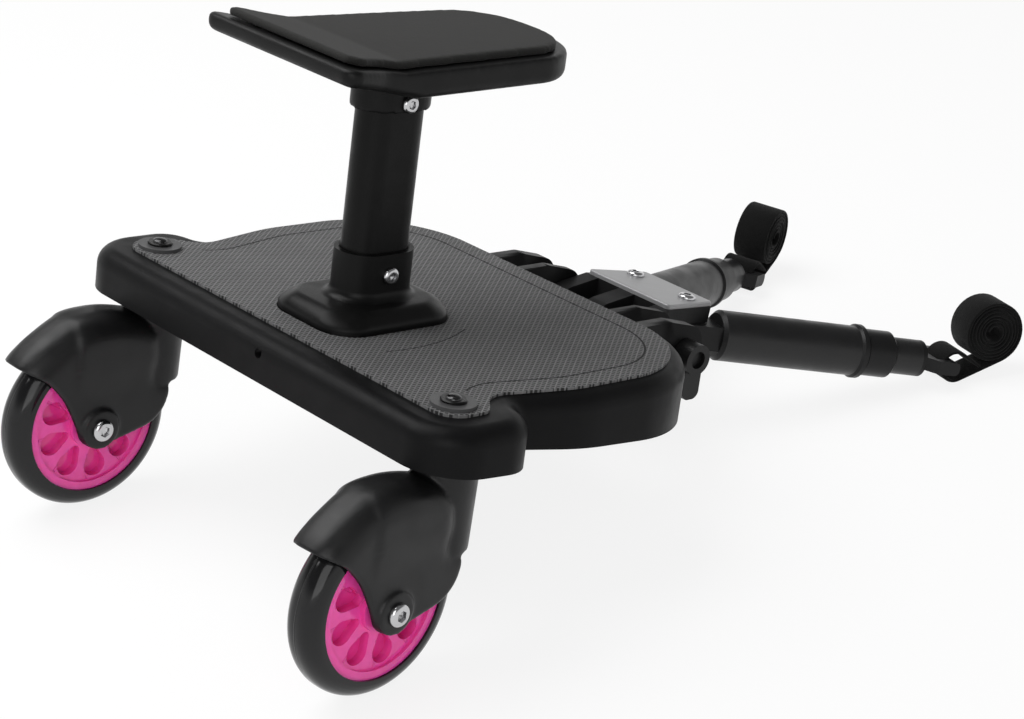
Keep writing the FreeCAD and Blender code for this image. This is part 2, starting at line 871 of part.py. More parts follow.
def saddle(label, inset, rear_inset, low, high, grow):
    """Saddle plan raised between two heights, with its upright edges rounded."""
    body = new_body(label, DECK)
    places = seat_places(inset, rear_inset)
    sketch = sketch_on(body, "XY_Plane", low)
    outline(sketch, places)
    pad(body, sketch, "(%s) - (%s)" % (high, low))
    rounds = ("seat_rear_round", "seat_waist_round + %s" % grow, "seat_nose_round - %s" % grow)
    for place, radius in zip(places, rounds):
        rounded(body, radius, corner(place))
    return body


def trim_top(body, rise):
    """Cut a saddle piece down to the pan's line: level over the seat, rising to a lip behind."""
    sketch = sketch_on(body, "YZ_Plane")
    lift = "(seat_lip_rise - seat_pan_rise) * overrun / (seat_back + seat_bend)"
    outline(sketch, [
        ("-seat_back - overrun", "seat_lip_rise + %s + %s" % (lift, rise)),
        ("seat_bend", "seat_pan_rise + " + rise),
        ("seat_front + overrun", "seat_pan_rise + " + rise),
        ("seat_front + overrun", "seat_lip_rise + overrun + " + rise),
        ("-seat_back - overrun", "seat_lip_rise + overrun + " + rise),
    ])
    pocket(body, sketch, both=True)


def make_seat_shell():
    body = saddle("seat_shell", "0", "0", "seat_under_rise", "seat_lip_rise", "0")
    trim_top(body, "0")
    # the underside rises to the rear lip
    sketch = sketch_on(body, "YZ_Plane")
    lift = "(seat_lip_under - seat_under_rise) * overrun / (seat_back + seat_under_bend)"
    outline(sketch, [
        ("-seat_back - overrun", "seat_lip_under + " + lift),
        ("seat_under_bend", "seat_under_rise"),
        ("-seat_back - overrun", "seat_under_rise"),
    ])
    pocket(body, sketch, both=True)
    rounded(body, "seat_under_edge", seat_edge(S.seat_lip_under, S.seat_under_rise, S.seat_under_bend))
    rounded(body, "seat_top_edge", seat_edge(S.seat_lip_rise, S.seat_pan_rise, S.seat_bend))
    sketch = sketch_on(body, "XY_Plane", "seat_collar_rise")
    oval(sketch, "collar_wide", "collar_long", "post_ahead")
    pad(body, sketch, "seat_collar_depth")
    sketch = sketch_on(body, "XY_Plane", "seat_collar_rise")
    oval(sketch, "post_wide + 2 * seat_gap", "post_long + 2 * seat_gap", "post_ahead")
    pocket(body, sketch, "seat_collar_depth", back=True)
    drilled(body, "YZ_Plane", [("post_ahead", "seat_collar_rise + seat_bolt_rise")], "cross_bolt_radius + seat_gap")
    return keep("seat_shell", body)


def seat_edge(rear, level, bend):
    """Test for the rim edges of a saddle face that is level ahead of a bend and slopes to the rear."""
    def line(y):
        return level if y >= bend else level + (rear - level) * (bend - y) / (S.seat_back + bend)

    def chosen(edge):
        points = edge.discretize(5)
        if not all(same(point.z, line(point.y)) for point in points):
            return False
        return not all(same(point.y, bend) for point in points)
    return chosen


def make_seat_pad():
    body = saddle("seat_pad", "pad_inset", "pad_rear_inset", "seat_pan_rise", "seat_lip_rise + pad_thick", "pad_inset")
    trim_top(body, "pad_thick")
    sketch = sketch_on(body, "YZ_Plane")
    lift = "(seat_lip_rise - seat_pan_rise) * overrun / (seat_back + seat_bend)"
    outline(sketch, [
        ("-seat_back - overrun", "seat_lip_rise + " + lift),
        ("seat_bend", "seat_pan_rise"),
        ("-seat_back - overrun", "seat_pan_rise"),
    ])
    pocket(body, sketch, both=True)
    rounded(body, "pad_edge", seat_edge(S.seat_lip_rise + S.pad_thick, S.seat_pan_rise + S.pad_thick, S.seat_bend))
    return keep("seat_pad", body)


def swivel_frame(name):
    """Deck top over one caster's swivel, turned with the caster."""
    side = SIDES[name]
    angle = S.turn_right_deg if side > 0 else S.turn_left_deg
    return DECK * shift(side * S.pivot_half, 0, 0) * turn(Z_AXIS, angle)


def wheel_frame(name):
    """Wheel centre of one caster, with X along the axle and Y ahead."""
    return swivel_frame(name) * shift(0, -S.trail, -S.deck_rise)


def make_swivel(name):
    frame = swivel_frame(name)
    low = "-boss_depth - bush_flange_thick"
    turned("swivel_washer_" + name, frame,
           tube("kingpin_radius + run_gap", "washer_radius", "mat_thick", "mat_thick + washer_thick"))
    turned("swivel_bush_" + name, frame, [
        ("kingpin_radius + shaft_gap", low),
        ("bush_radius + bush_flange", low),
        ("bush_radius + bush_flange", "-boss_depth"),
        ("bush_radius", "-boss_depth"),
        ("bush_radius", "0"),
        ("kingpin_radius + shaft_gap", "0"),
    ])
    seat = "mat_thick + washer_thick + run_gap"
    end = "kingpin_nut_rise - deck_rise"
    turned("kingpin_" + name, frame, [
        ("0", end),
        ("kingpin_radius", end),
        ("kingpin_radius", seat),
        ("kingpin_head_radius", seat),
        ("kingpin_head_radius", seat + " + kingpin_collar_thick"),
        ("kingpin_dome_radius", seat + " + kingpin_collar_thick"),
        ("kingpin_dome_radius / 2", seat + " + kingpin_dome_thick"),
        ("0", seat + " + kingpin_dome_thick"),
    ])
    turned("kingpin_nut_" + name, frame,
           tube("kingpin_radius + seat_gap", "kingpin_nut_radius", end, end + " + kingpin_nut_thick"))


def make_hood(name):
    """Mudguard: an arched band swept round the axle and cut off over the tyre's rear."""
    body = new_body("hood_" + name, FreeCAD.Placement())
    sketch = sketch_on(body, "XZ_Plane")
    box(sketch, "-hood_half", "hood_half", "0", "hood_radius")
    revolve(body, sketch, "H_Axis", "hood_end_deg - 90")
    rounded(body, "hood_arch", circle_of(S.hood_radius))
    sketch = sketch_on(body, "YZ_Plane")
    outline(sketch, [
        ("0", "0"),
        ("-hollow_back", "hollow_rise"),
        ("-brow_back", "brow_rise"),
        ("-hood_radius - overrun", "brow_rise"),
        ("-hood_radius - overrun", "0"),
    ])
    pocket(body, sketch, both=True)
    return body


def make_legs(name):
    """Two cheeks of a fork and the crown that joins them, in one block before the wheel's room is cut."""
    body = new_body("legs_" + name, FreeCAD.Placement())
    places = [
        ("waist_ahead", "waist_rise"),
        ("knee_ahead", "knee_rise"),
        ("shin_ahead", "shin_rise"),
        ("toe_ahead", "-toe_drop"),
        ("0", "-axle_boss_radius"),
        ("-axle_boss_radius", "-axle_boss_radius"),
        ("-axle_boss_radius", "0"),
        ("-hollow_back", "hollow_rise"),
        ("-crease_back", "sqrt(crown_radius ^ 2 - crease_back ^ 2)"),
        ("0", "crown_radius"),
        ("nape_ahead", "nape_rise"),
        ("chest_ahead", "chest_rise"),
    ]
    sketch = sketch_on(body, "YZ_Plane")
    outline(sketch, places)
    pad(body, sketch, "2 * fork_half", both=True)
    rounded(body, "axle_boss_radius * heel_share", across_at(-S.axle_boss_radius, -S.axle_boss_radius))
    crown = [side_edge(places[index], places[index + 1]) for index in (8, 9, 10)]
    rounded(body, "hood_arch", any_of(*crown))
    sketch = sketch_on(body, "YZ_Plane")
    ring(sketch, "0", "0", "axle_boss_radius")
    pad(body, sketch, "2 * axle_face", both=True)
    return body


def make_stem(name):
    """Round stem under the ear, narrowing into the fork's crown."""
    body = new_body("stem_" + name, shift(0, S.trail, 0))
    sketch = sketch_on(body, "XZ_Plane")
    outline(sketch, [
        ("0", "stem_foot_rise"),
        ("stem_foot_radius", "stem_foot_rise"),
        ("stem_radius", "stem_top - stem_rim"),
        ("stem_radius", "stem_top"),
        ("0", "stem_top"),
    ])
    revolve(body, sketch)
    return body


def side_edge(start, end):
    """Test for the straight edges of a block's two sides that run between two places of its profile."""
    ends = {(round(number(y), 3), round(number(z), 3)) for y, z in (start, end)}

    def chosen(edge):
        found = {(round(vertex.Point.y, 3), round(vertex.Point.z, 3)) for vertex in edge.Vertexes}
        return is_straight(edge) and found == ends
    return chosen


def make_fork(name):
    reach = number("axle_face + overrun")
    drills = [
        cylinder("room_radius", "2 * room_half", shift(-V.room_half, 0, 0) * ALONG_X),
        cylinder("axle_radius + seat_gap", "2 * (axle_face + overrun)", shift(-reach, 0, 0) * ALONG_X),
        cylinder("kingpin_radius + seat_gap", "stem_top + overrun", shift(0, S.trail, 0)),
        cylinder("kingpin_nut_radius + run_gap", "kingpin_nut_rise + kingpin_nut_thick", shift(0, S.trail, 0)),
    ]
    cut_from("caster_fork_" + name, wheel_frame(name), [make_legs(name), make_stem(name), make_hood(name)], drills)


def make_axle(name):
    frame = wheel_frame(name) * ALONG_X
    bolt_end = "-axle_face - axle_nut_thick"
    turned("axle_bolt_" + name, frame, [
        ("0", bolt_end),
        ("axle_radius", bolt_end),
        ("axle_radius", "axle_face"),
        ("axle_head_radius", "axle_face"),
        ("axle_head_radius", "axle_face + axle_head_thick * axle_rim_share"),
        ("axle_head_radius * axle_crown_share", "axle_face + axle_head_thick"),
        ("0", "axle_face + axle_head_thick"),
    ])
    turned("axle_nut_" + name, frame, tube("axle_radius + seat_gap", "axle_nut_radius", bolt_end, "-axle_face"))
    middle = "wheel_width / 2 - bearing_width"
    turned("bearing_sleeve_" + name, frame,
           tube("axle_radius + seat_gap", "spacer_radius", "run_gap - (%s)" % middle, "%s - run_gap" % middle))
    pair("axle_spacers_" + name, frame, "axle_radius + seat_gap", "spacer_radius",
         "wheel_width / 2 + run_gap", "room_half")
    pair("wheel_bearings_" + name, frame, "axle_radius + shaft_gap", "bearing_radius", middle, "wheel_width / 2")


def pair(label, frame, inner, outer, near, far):
    """Two like rings on one axis, each side of its middle."""
    body = new_body(label, frame)
    body.AllowCompound = True
    sketch = sketch_on(body, "XZ_Plane")
    outline(sketch, tube(inner, outer, near, far))
    outline(sketch, tube(inner, outer, "-(%s)" % far, "-(%s)" % near))
    revolve(body, sketch)
    return keep(label, body)


def make_wheel(name):
    frame = wheel_frame(name) * ALONG_X
    half = "wheel_width / 2"
    tyre = turned("wheel_tyre_" + name, frame, tube("core_radius + seat_gap", "wheel_radius", "-" + half, half))
    rounded(tyre, "tread_round", circle_of(V.wheel_radius))
    middle = "(wheel_width / 2 - bearing_width)"
    upper = [
        ("core_radius", "core_width / 2"),
        ("core_radius - rim_wall", "core_width / 2"),
        ("core_radius - rim_wall", "web_half"),
        ("hub_radius", "web_half"),
        ("hub_radius", half),
        ("bearing_radius + seat_gap", half),
        ("bearing_radius + seat_gap", middle),
        ("spacer_radius + run_gap", middle),
    ]
    lower = [(radius, "-" + rise) for radius, rise in reversed(upper)]
    core = turned("wheel_core_" + name, frame, upper + lower)
    cuts = []
    for rise, back in (("web_half", False), ("-web_half", True)):
        sketch = sketch_on(core, "XY_Plane", rise)
        capsule(sketch, "recess_tip_place", "recess_place", "recess_tip_radius", "recess_radius")
        cuts.append(pocket(core, sketch, "web_half - web_core", back=back))
    axis = next(item for item in core.Origin.OriginFeatures if item.Role == "Z_Axis")
    spread = core.newObject("PartDesign::PolarPattern", "PolarPattern")
    spread.Originals = cuts
    spread.Axis = (axis, [""])
    spread.Angle = 360
    spread.setExpression("Occurrences", linked("recess_count"))
    core.Tip = spread
    doc.recompute()


def make_hinge():
    frame = DECK * shift(0, S.rod_ahead, -S.rod_below)
    nut_end = "-outer_lug_outside - rod_nut_thick"
    rod_end = "outer_lug_outside + knob_thick / 2"
    turned("hinge_rod", frame * ALONG_X, tube("0", "rod_radius", nut_end, rod_end))
    turned("hinge_nut", frame * ALONG_X, tube("rod_radius + seat_gap", "rod_nut_radius", nut_end, "-outer_lug_outside"))
    knob = new_body("hinge_knob", frame)
    start = "outer_lug_outside + run_gap"
    sketch = sketch_on(knob, "YZ_Plane", start)
    ring(sketch, "0", "0", "knob_radius")
    pad(knob, sketch, "knob_thick")
    sketch = sketch_on(knob, "YZ_Plane", start + " + (knob_thick - knob_wing_thick) / 2")
    outline(sketch, [
        ("-knob_wing_half", "0"),
        ("-knob_wing_half", "-knob_wing_reach"),
        ("knob_wing_half", "-knob_wing_reach"),
        ("knob_wing_half", "0"),
    ])
    pad(knob, sketch, "knob_wing_thick")
    tips = [across_at(side * S.knob_wing_half, -S.knob_wing_reach) for side in (-1, 1)]
    rounded(knob, "knob_wing_half * wing_tip_share", any_of(*tips))
    sketch = sketch_on(knob, "YZ_Plane", start + " + knob_thick")
    ring(sketch, "0", "0", "knob_recess_radius")
    pocket(knob, sketch, "knob_recess_depth")
    sketch = sketch_on(knob, "YZ_Plane", start)
    ring(sketch, "0", "0", "rod_radius + shaft_gap")
    pocket(knob, sketch, "knob_thick / 2", back=True)
    keep("hinge_knob", knob)


def pivot_places():
    return [("-pivot_across", "pivot_ahead"), ("pivot_across", "pivot_ahead")]


def make_coupler():
    body = new_body("coupler_body", COUPLER)
    sketch = sketch_on(body, "YZ_Plane")
    places = [
        ("-coupler_barrel", "-coupler_barrel"),
        ("-coupler_barrel", "coupler_barrel * barrel_top_share"),
        ("coupler_slope", "coupler_top"),
        ("coupler_front", "coupler_top"),
        ("coupler_front", "-coupler_bottom"),
        ("coupler_barrel", "-coupler_bottom"),
    ]
    outline(sketch, places)
    pad(body, sketch, "2 * coupler_half", both=True)
    bends = [across_at(number(y), number(z)) for y, z in places[:2]]
    rounded(body, "coupler_barrel * barrel_round_share", any_of(*bends))
    sketch = sketch_on(body, "XY_Plane")
    for side in ("", "-"):
        outline(sketch, [
            (side + "coupler_half", "coupler_slope"),
            (side + "coupler_front_half", "coupler_front"),
            (side + "coupler_front_half", "coupler_front + overrun"),
            (side + "(coupler_half + overrun)", "coupler_front + overrun"),
            (side + "(coupler_half + overrun)", "coupler_slope"),
        ])
    pocket(body, sketch, both=True)
    sketch = sketch_on(body, "XY_Plane", "slot_half - arm_below")
    for side in ("", "-"):
        box(sketch, side + "slot_rib_half", side + "(coupler_half + overrun)", "slot_back", "coupler_front + overrun")
    pocket(body, sketch, "2 * slot_half")
    sketch = sketch_on(body, "XY_Plane")
    for side in ("", "-"):
        box(sketch, side + "pocket_inside", side + "pocket_outside", "-coupler_barrel - overrun", "pocket_ahead")
    pocket(body, sketch, both=True)
    drilled(body, "YZ_Plane", [("0", "0")], "rod_radius + shaft_gap")
    drilled(body, "XY_Plane", pivot_places(), "pivot_radius + seat_gap")
    keep("coupler_body", body)
    plate = new_body("coupler_plate", COUPLER)
    sketch = sketch_on(plate, "XY_Plane", "coupler_top")
    corners = [
        ("coupler_half - plate_inset", "coupler_slope"),
        ("coupler_front_half - plate_inset", "coupler_front + plate_over"),
    ]
    outline(sketch, mirrored(corners))
    pad(plate, sketch, "plate_thick")
    rounded(plate, "plate_round", any_of(*[corner(place) for place in corners]))
    rounded(plate, "plate_edge", level_at(V.plate_top))
    drilled(plate, "XY_Plane", pivot_places(), "pivot_radius + seat_gap")
    keep("coupler_plate", plate)
    nut_low = "-coupler_bottom - pivot_nut_thick"
    studs("pivot_screws", COUPLER, pivot_places(), [
        ("pivot_radius", nut_low, "plate_top"),
        ("pivot_head_radius", "plate_top", "plate_top + pivot_head_thick / 2"),
        ("pivot_head_radius * pivot_crown_share", "plate_top + pivot_head_thick / 2", "plate_top + pivot_head_thick"),
    ])
    nuts = studs("pivot_nuts", COUPLER, pivot_places(), [("pivot_nut_radius", nut_low, "-coupler_bottom")])
    drilled(nuts, "XY_Plane", pivot_places(), "pivot_radius + seat_gap")


def make_arm(name):
    frame = arm_frame(LEAN, SIDES[name])
    along = frame * turn(X_AXIS, -90)
    make_knuckle(name, frame)
    turned("arm_tube_" + name, along, tube("tube_bore", "tube_radius", "tube_start", "tube_end"))
    turned("arm_collar_" + name, along, [
        ("slider_radius + guide_gap", "tube_end"),
        ("tube_radius", "tube_end"),
        ("ring_radius", "tube_end + ring_long * ring_bevel_share"),
        ("ring_radius", "ring_end - ring_long * ring_bevel_share"),
        ("sleeve_radius", "ring_end"),
        ("slider_radius + guide_gap", "ring_end"),
    ])
    turned("arm_sleeve_" + name, along, [
        ("slider_radius + run_gap", "ring_end + run_gap"),
        ("sleeve_radius", "ring_end + run_gap"),
        ("sleeve_radius", "sleeve_end - sleeve_bevel"),
        ("sleeve_radius - sleeve_bevel", "sleeve_end"),
        ("slider_radius + run_gap", "sleeve_end"),
    ])
    turned("arm_slider_" + name, along, [
        ("slider_radius - slider_wall", "slider_start"),
        ("tube_bore - guide_gap", "slider_start"),
        ("tube_bore - guide_gap", "slider_start + slider_foot"),
        ("slider_radius", "slider_start + slider_foot"),
        ("slider_radius", "slider_end"),
        ("slider_radius - slider_wall", "slider_end"),
    ])
    make_eye(name, frame)
    make_strap(name, frame)


def make_knuckle(name, frame):
    """Flat tongue round the pivot screw, with a round cap and a plug for the arm's tube."""
    body = new_body("arm_knuckle_" + name, frame)
    sketch = sketch_on(body, "XY_Plane")
    ring(sketch, "0", "0", "tongue_radius")
    pad(body, sketch, "tongue_thick", both=True)
    sketch = sketch_on(body, "XY_Plane")
    box(sketch, "-tongue_radius", "tongue_radius", "0", "tube_start - root_cap / 2")
    pad(body, sketch, "tongue_thick", both=True)
    sketch = sketch_on(body, "XY_Plane")
    outline(sketch, [
        ("0", "tube_start - root_cap"),
        ("tube_bore", "tube_start - root_cap"),
        ("tube_radius", "tube_start"),
        ("tube_bore - seat_gap", "tube_start"),
        ("tube_bore - seat_gap", "tube_start + root_plug"),
        ("0", "tube_start + root_plug"),
    ])
    revolve(body, sketch)
    drilled(body, "XY_Plane", [("0", "0")], "pivot_radius + shaft_gap")
    keep("arm_knuckle_" + name, body)


def make_eye(name, frame):
    """Buckle in the inner tube's end: a plug, a cap and a frame with a slot behind a round bar."""
    body = new_body("arm_eye_" + name, frame)
    plug = "slider_radius - slider_wall - seat_gap"
    sketch = sketch_on(body, "XY_Plane")
    outline(sketch, [
        ("0", "slider_end - eye_plug"),
        (plug, "slider_end - eye_plug"),
        (plug, "slider_end"),
        ("slider_radius", "slider_end"),
        ("slider_radius", "slider_end + eye_cap"),
        ("0", "slider_end + eye_cap"),
    ])
    revolve(body, sketch)
    sketch = sketch_on(body, "XY_Plane")
    outline(sketch, mirrored([
        ("eye_neck_half", "slider_end + eye_cap / 2"),
        ("eye_half", "eye_slot_back"),
        ("eye_half", "eye_front"),
    ]))
    pad(body, sketch, "eye_thick", both=True)
    sketch = sketch_on(body, "XY_Plane")
    slot = "strap_wide / 2 + strap_side_gap"
    box(sketch, "-(%s)" % slot, slot, "eye_slot_back", "eye_front - eye_bar")
    pocket(body, sketch, both=True)
    sides = [across_at(number(y), side * S.eye_thick / 2)
             for y in ("eye_front", "eye_front - eye_bar") for side in (-1, 1)]
    rounded(body, "eye_round", any_of(*sides))
    keep("arm_eye_" + name, body)


def strap_path():
    """Middle line of a strap in the arm's upright plane: lines and left-hand arcs, tail end first."""
    loop = FreeCAD.Vector(0, V.loop_ahead, 0)
    roll = loop + FreeCAD.Vector(0, S.roll_ahead, S.roll_above)
    reach = math.hypot(S.roll_ahead, S.roll_above)
    heading = math.atan2(S.roll_above, S.roll_ahead) - math.asin((S.roll_radius - S.loop_radius) / reach)
    ahead = FreeCAD.Vector(0, math.cos(heading), math.sin(heading))
    right = FreeCAD.Vector(0, math.sin(heading), -math.cos(heading))
    pitch = S.strap_thick + S.strap_turn_gap
    tail = loop + ahead * S.loop_mouth + right * (S.loop_radius - pitch)
    back = loop - tail
    lean = math.atan2(back.z, back.y) - math.asin(S.loop_radius / back.Length)
    run = math.sqrt(back.Length ** 2 - S.loop_radius ** 2)
    touch = tail + FreeCAD.Vector(0, math.cos(lean), math.sin(lean)) * run
    swing = (heading - lean) % (2 * math.pi)
    path = [("line", tail, touch)]
    start = lean - math.pi / 2
    for part in range(3):
        path.append(("arc", loop, S.loop_radius, start + swing * part / 3, start + swing * (part + 1) / 3))
    path.append(("line", loop + right * S.loop_radius, roll + right * S.roll_radius))
    radius = S.roll_radius
    angle = heading - math.pi / 2
    centre = roll
    while radius > S.roll_core:
        path.append(("arc", centre, radius, angle, angle + math.pi))
        angle += math.pi
        radius -= pitch / 2
        centre = roll if centre != roll else roll - right * (pitch / 2)
    return path


def on_circle(centre, radius, angle):
    return centre + FreeCAD.Vector(0, radius * math.cos(angle), radius * math.sin(angle))


def beside(step, out):
    """One step of the strap's path, set off to its right by a length."""
    if step[0] == "line":
        ahead = (step[2] - step[1]).normalize()
        right = FreeCAD.Vector(0, ahead.z, -ahead.y) * out
        return Part.LineSegment(step[1] + right, step[2] + right)
    centre, radius, start, end = step[1:]
    points = [on_circle(centre, radius + out, angle) for angle in (start, (start + end) / 2, end)]
    return Part.Arc(*points)


def least_gap(path):
    """Least clear distance between stretches of the strap that don't follow one another."""
    points = []
    for step in path:
        curve = beside(step, 0)
        count = max(2, int(curve.length() / S.strap_thick))
        points += curve.discretize(Number=count)[:-1]
    apart = 2 * int(math.pi * S.roll_core / S.strap_thick)
    pairs = ((a, b) for index, a in enumerate(points) for b in points[index + apart:])
    return min((a - b).Length for a, b in pairs) - S.strap_thick


def make_strap(name, frame):
    """Strap sewn round the buckle's bar and rolled up: one band, wound from outside in."""
    path = strap_path()
    print("strap %s: least gap to itself %.2f mm" % (name, least_gap(path)))
    outer = [beside(step, S.strap_thick / 2) for step in path]
    inner = [beside(step, -S.strap_thick / 2) for step in path]
    tip = Part.LineSegment(outer[-1].EndPoint, inner[-1].EndPoint)
    tail = Part.LineSegment(inner[0].StartPoint, outer[0].StartPoint)
    edges = [curve.toShape() for curve in outer + [tip] + inner[::-1] + [tail]]
    face = Part.Face(Part.Wire(Part.__sortEdges__(edges)))
    face.translate(FreeCAD.Vector(-S.strap_wide / 2, 0, 0))
    strap = doc.addObject("Part::Feature", "strap_" + name)
    strap.Label = "strap_" + name
    strap.Shape = face.extrude(FreeCAD.Vector(S.strap_wide, 0, 0))
    strap.Placement = frame
    keep("strap_" + name, strap)


def make_all():
    make_deck_shell()
    make_deck_mat()
    make_socket()
    studs("socket_screws", DECK, socket_screw_places(), [
        ("screw_head_radius", "-deck_wall - screw_head_thick", "-deck_wall"),
        ("screw_radius", "-deck_wall", "screw_bite"),
    ])
    make_post()
    make_cross_bolt("post", "socket_rise - post_bolt_drop")
    make_seat_shell()
    make_seat_pad()
    make_cross_bolt("seat", "seat_collar_rise + seat_bolt_rise")
    make_hinge()
    make_coupler()
    for name in SIDES:
        make_swivel(name)
        make_fork(name)
        make_axle(name)
        make_wheel(name)
        make_arm(name)


def check_all():
    """Stop if any feature failed or any piece is empty or faulty."""
    for thing in doc.Objects:
        if "Invalid" in thing.State or "Error" in thing.State:
            raise RuntimeError("%s failed" % thing.Label)
    for label, thing in NODES.items():
        if thing.Shape.isNull() or not thing.Shape.isValid():
            raise RuntimeError("%s is empty or faulty" % label)


def centre_on_floor():
    """Move every piece so that the origin lies under the middle of the whole."""
    whole = FreeCAD.BoundBox()
    for thing in NODES.values():
        whole.add(thing.Shape.optimalBoundingBox(False, False))
    move = shift(-whole.Center.x, -whole.Center.y, -whole.ZMin)
    for thing in NODES.values():
        thing.Placement = move * thing.Placement
    doc.recompute()
    print("lean %.2f degrees, size %.1f x %.1f x %.1f mm, lowest %.3f mm, moved %.3f %.3f mm" % (
        LEAN, whole.XLength, whole.YLength, whole.ZLength, whole.ZMin, move.Base.x, move.Base.y))


def write_all():
    os.makedirs("parts", exist_ok=True)
    for label, thing in NODES.items():
        thing.Shape.exportStep("parts/%s.step" % label)
    print("%d pieces written" % len(NODES))


make_all()
check_all()
centre_on_floor()
check_all()
write_all()
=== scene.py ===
"""Dresses the buggy board's CAD frame: finishes, softer mouldings, bolts, mat lines and straps."""
import json
import math

import bmesh
import bpy
from bpy.props import FloatProperty, FloatVectorProperty, IntProperty, PointerProperty
from mathutils import Matrix, Vector, kdtree


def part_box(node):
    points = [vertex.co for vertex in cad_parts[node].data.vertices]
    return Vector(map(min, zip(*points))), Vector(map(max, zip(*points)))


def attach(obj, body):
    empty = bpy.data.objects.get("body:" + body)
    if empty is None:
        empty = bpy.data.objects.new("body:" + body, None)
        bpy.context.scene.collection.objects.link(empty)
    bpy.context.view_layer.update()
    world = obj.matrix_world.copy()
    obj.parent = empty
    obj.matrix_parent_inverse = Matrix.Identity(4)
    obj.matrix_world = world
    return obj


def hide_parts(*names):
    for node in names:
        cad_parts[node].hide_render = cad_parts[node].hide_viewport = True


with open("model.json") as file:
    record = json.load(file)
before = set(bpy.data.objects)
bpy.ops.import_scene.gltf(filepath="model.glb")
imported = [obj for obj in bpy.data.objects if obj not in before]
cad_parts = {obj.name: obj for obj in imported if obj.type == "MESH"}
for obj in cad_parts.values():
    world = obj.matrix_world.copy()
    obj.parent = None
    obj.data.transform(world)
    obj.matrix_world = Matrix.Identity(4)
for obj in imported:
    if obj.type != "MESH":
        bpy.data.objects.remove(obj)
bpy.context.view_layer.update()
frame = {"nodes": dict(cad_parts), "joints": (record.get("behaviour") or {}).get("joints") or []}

bl_info = {
    "name": "Buggy board",
    "version": (1, 0, 0),
    "blender": (4, 5, 0),
    "location": "View3D > Sidebar > Buggy board",
    "description": "Dresses the buggy board's CAD frame for a studio picture",
    "category": "Object",
}

JOINTS = {joint["name"]: joint for joint in frame["joints"]}
SIDES = ("left", "right")
IMAGE_WIDE = 1024
UP = Vector((0, 0, 1))

# Points of a mesh that lie closer than this in metres are one, and edges past this angle in degrees are sharp
WELD = 1e-6
SHARP = 35

# Steps of a kingpin's profile that make its black collar
KINGPIN_COLLAR = range(2, 6)

# How far ahead of the swivels the mat's border line starts, as a share of half their distance
EAR_SHARE = 0.13

# Half of a strap's section, in half widths and half thicknesses, and its width's share of the flat strap's
STRAP_SECTION = ((-1.0, 0.0), (-0.98, 0.7), (-0.93, 1.0), (0.0, 1.0), (0.93, 1.0), (0.98, 0.7))
STRAP_SHARE = 0.985

# Lamps: where they hang, where they face, their side in metres and their power in watts
LAMPS = {
    "key": {"place": (-0.7, -0.5, 1.7), "aim": (0.0, 0.0, 0.1), "size": 1.6, "power": 36.0},
    "fill": {"place": (1.4, -1.5, 1.1), "aim": (0.0, -0.1, 0.1), "size": 1.4, "power": 14.0},
}

# Half the floor's side in metres, and the share of plain white in what the camera and reflections see of it
FLOOR_HALF = 6.0
FLOOR_GLOW = 0.85

# Outline of a fork, ahead and up from its axle in metres: over the crown, and round the lower edge
FORK_ARC = ((0.0465, 0.0305), (0.0470, 0.0450), (0.0435, 0.0575), (0.0330, 0.0655), (0.0170, 0.0698),
            (0, 0.0710), (-0.0180, 0.0685), (-0.0360, 0.0583), (-0.0480, 0.0489), (-0.0540, 0.0422))
FORK_EDGE = ((-0.0540, 0.0422), (-0.0508, 0.0406), (-0.0440, 0.0375), (-0.0369, 0.0331), (-0.0278, 0.0235),
             (-0.0227, 0.0159), (-0.0186, 0.0080), (-0.0152, 0.0010), (-0.0115, -0.0075), (-0.0030, -0.0130),
             (0.0080, -0.0115), (0.0200, -0.0083), (0.0340, -0.0043), (0.0410, -0.0005), (0.0470, 0.0065),
             (0.0498, 0.0150), (0.0496, 0.0215), (0.0465, 0.0305))
FORK_MIDDLE = (0.008, 0.030)


def length(label, size, words):
    return FloatProperty(name=label, description=words, default=size, min=0, unit="LENGTH", precision=4)


def colour(label, value, words):
    return FloatVectorProperty(name=label, description=words, default=value, min=0, max=1, size=3,
                               subtype="COLOR")


def degrees(label, value, words):
    return FloatProperty(name=label, description=words, default=math.radians(value), subtype="ANGLE")


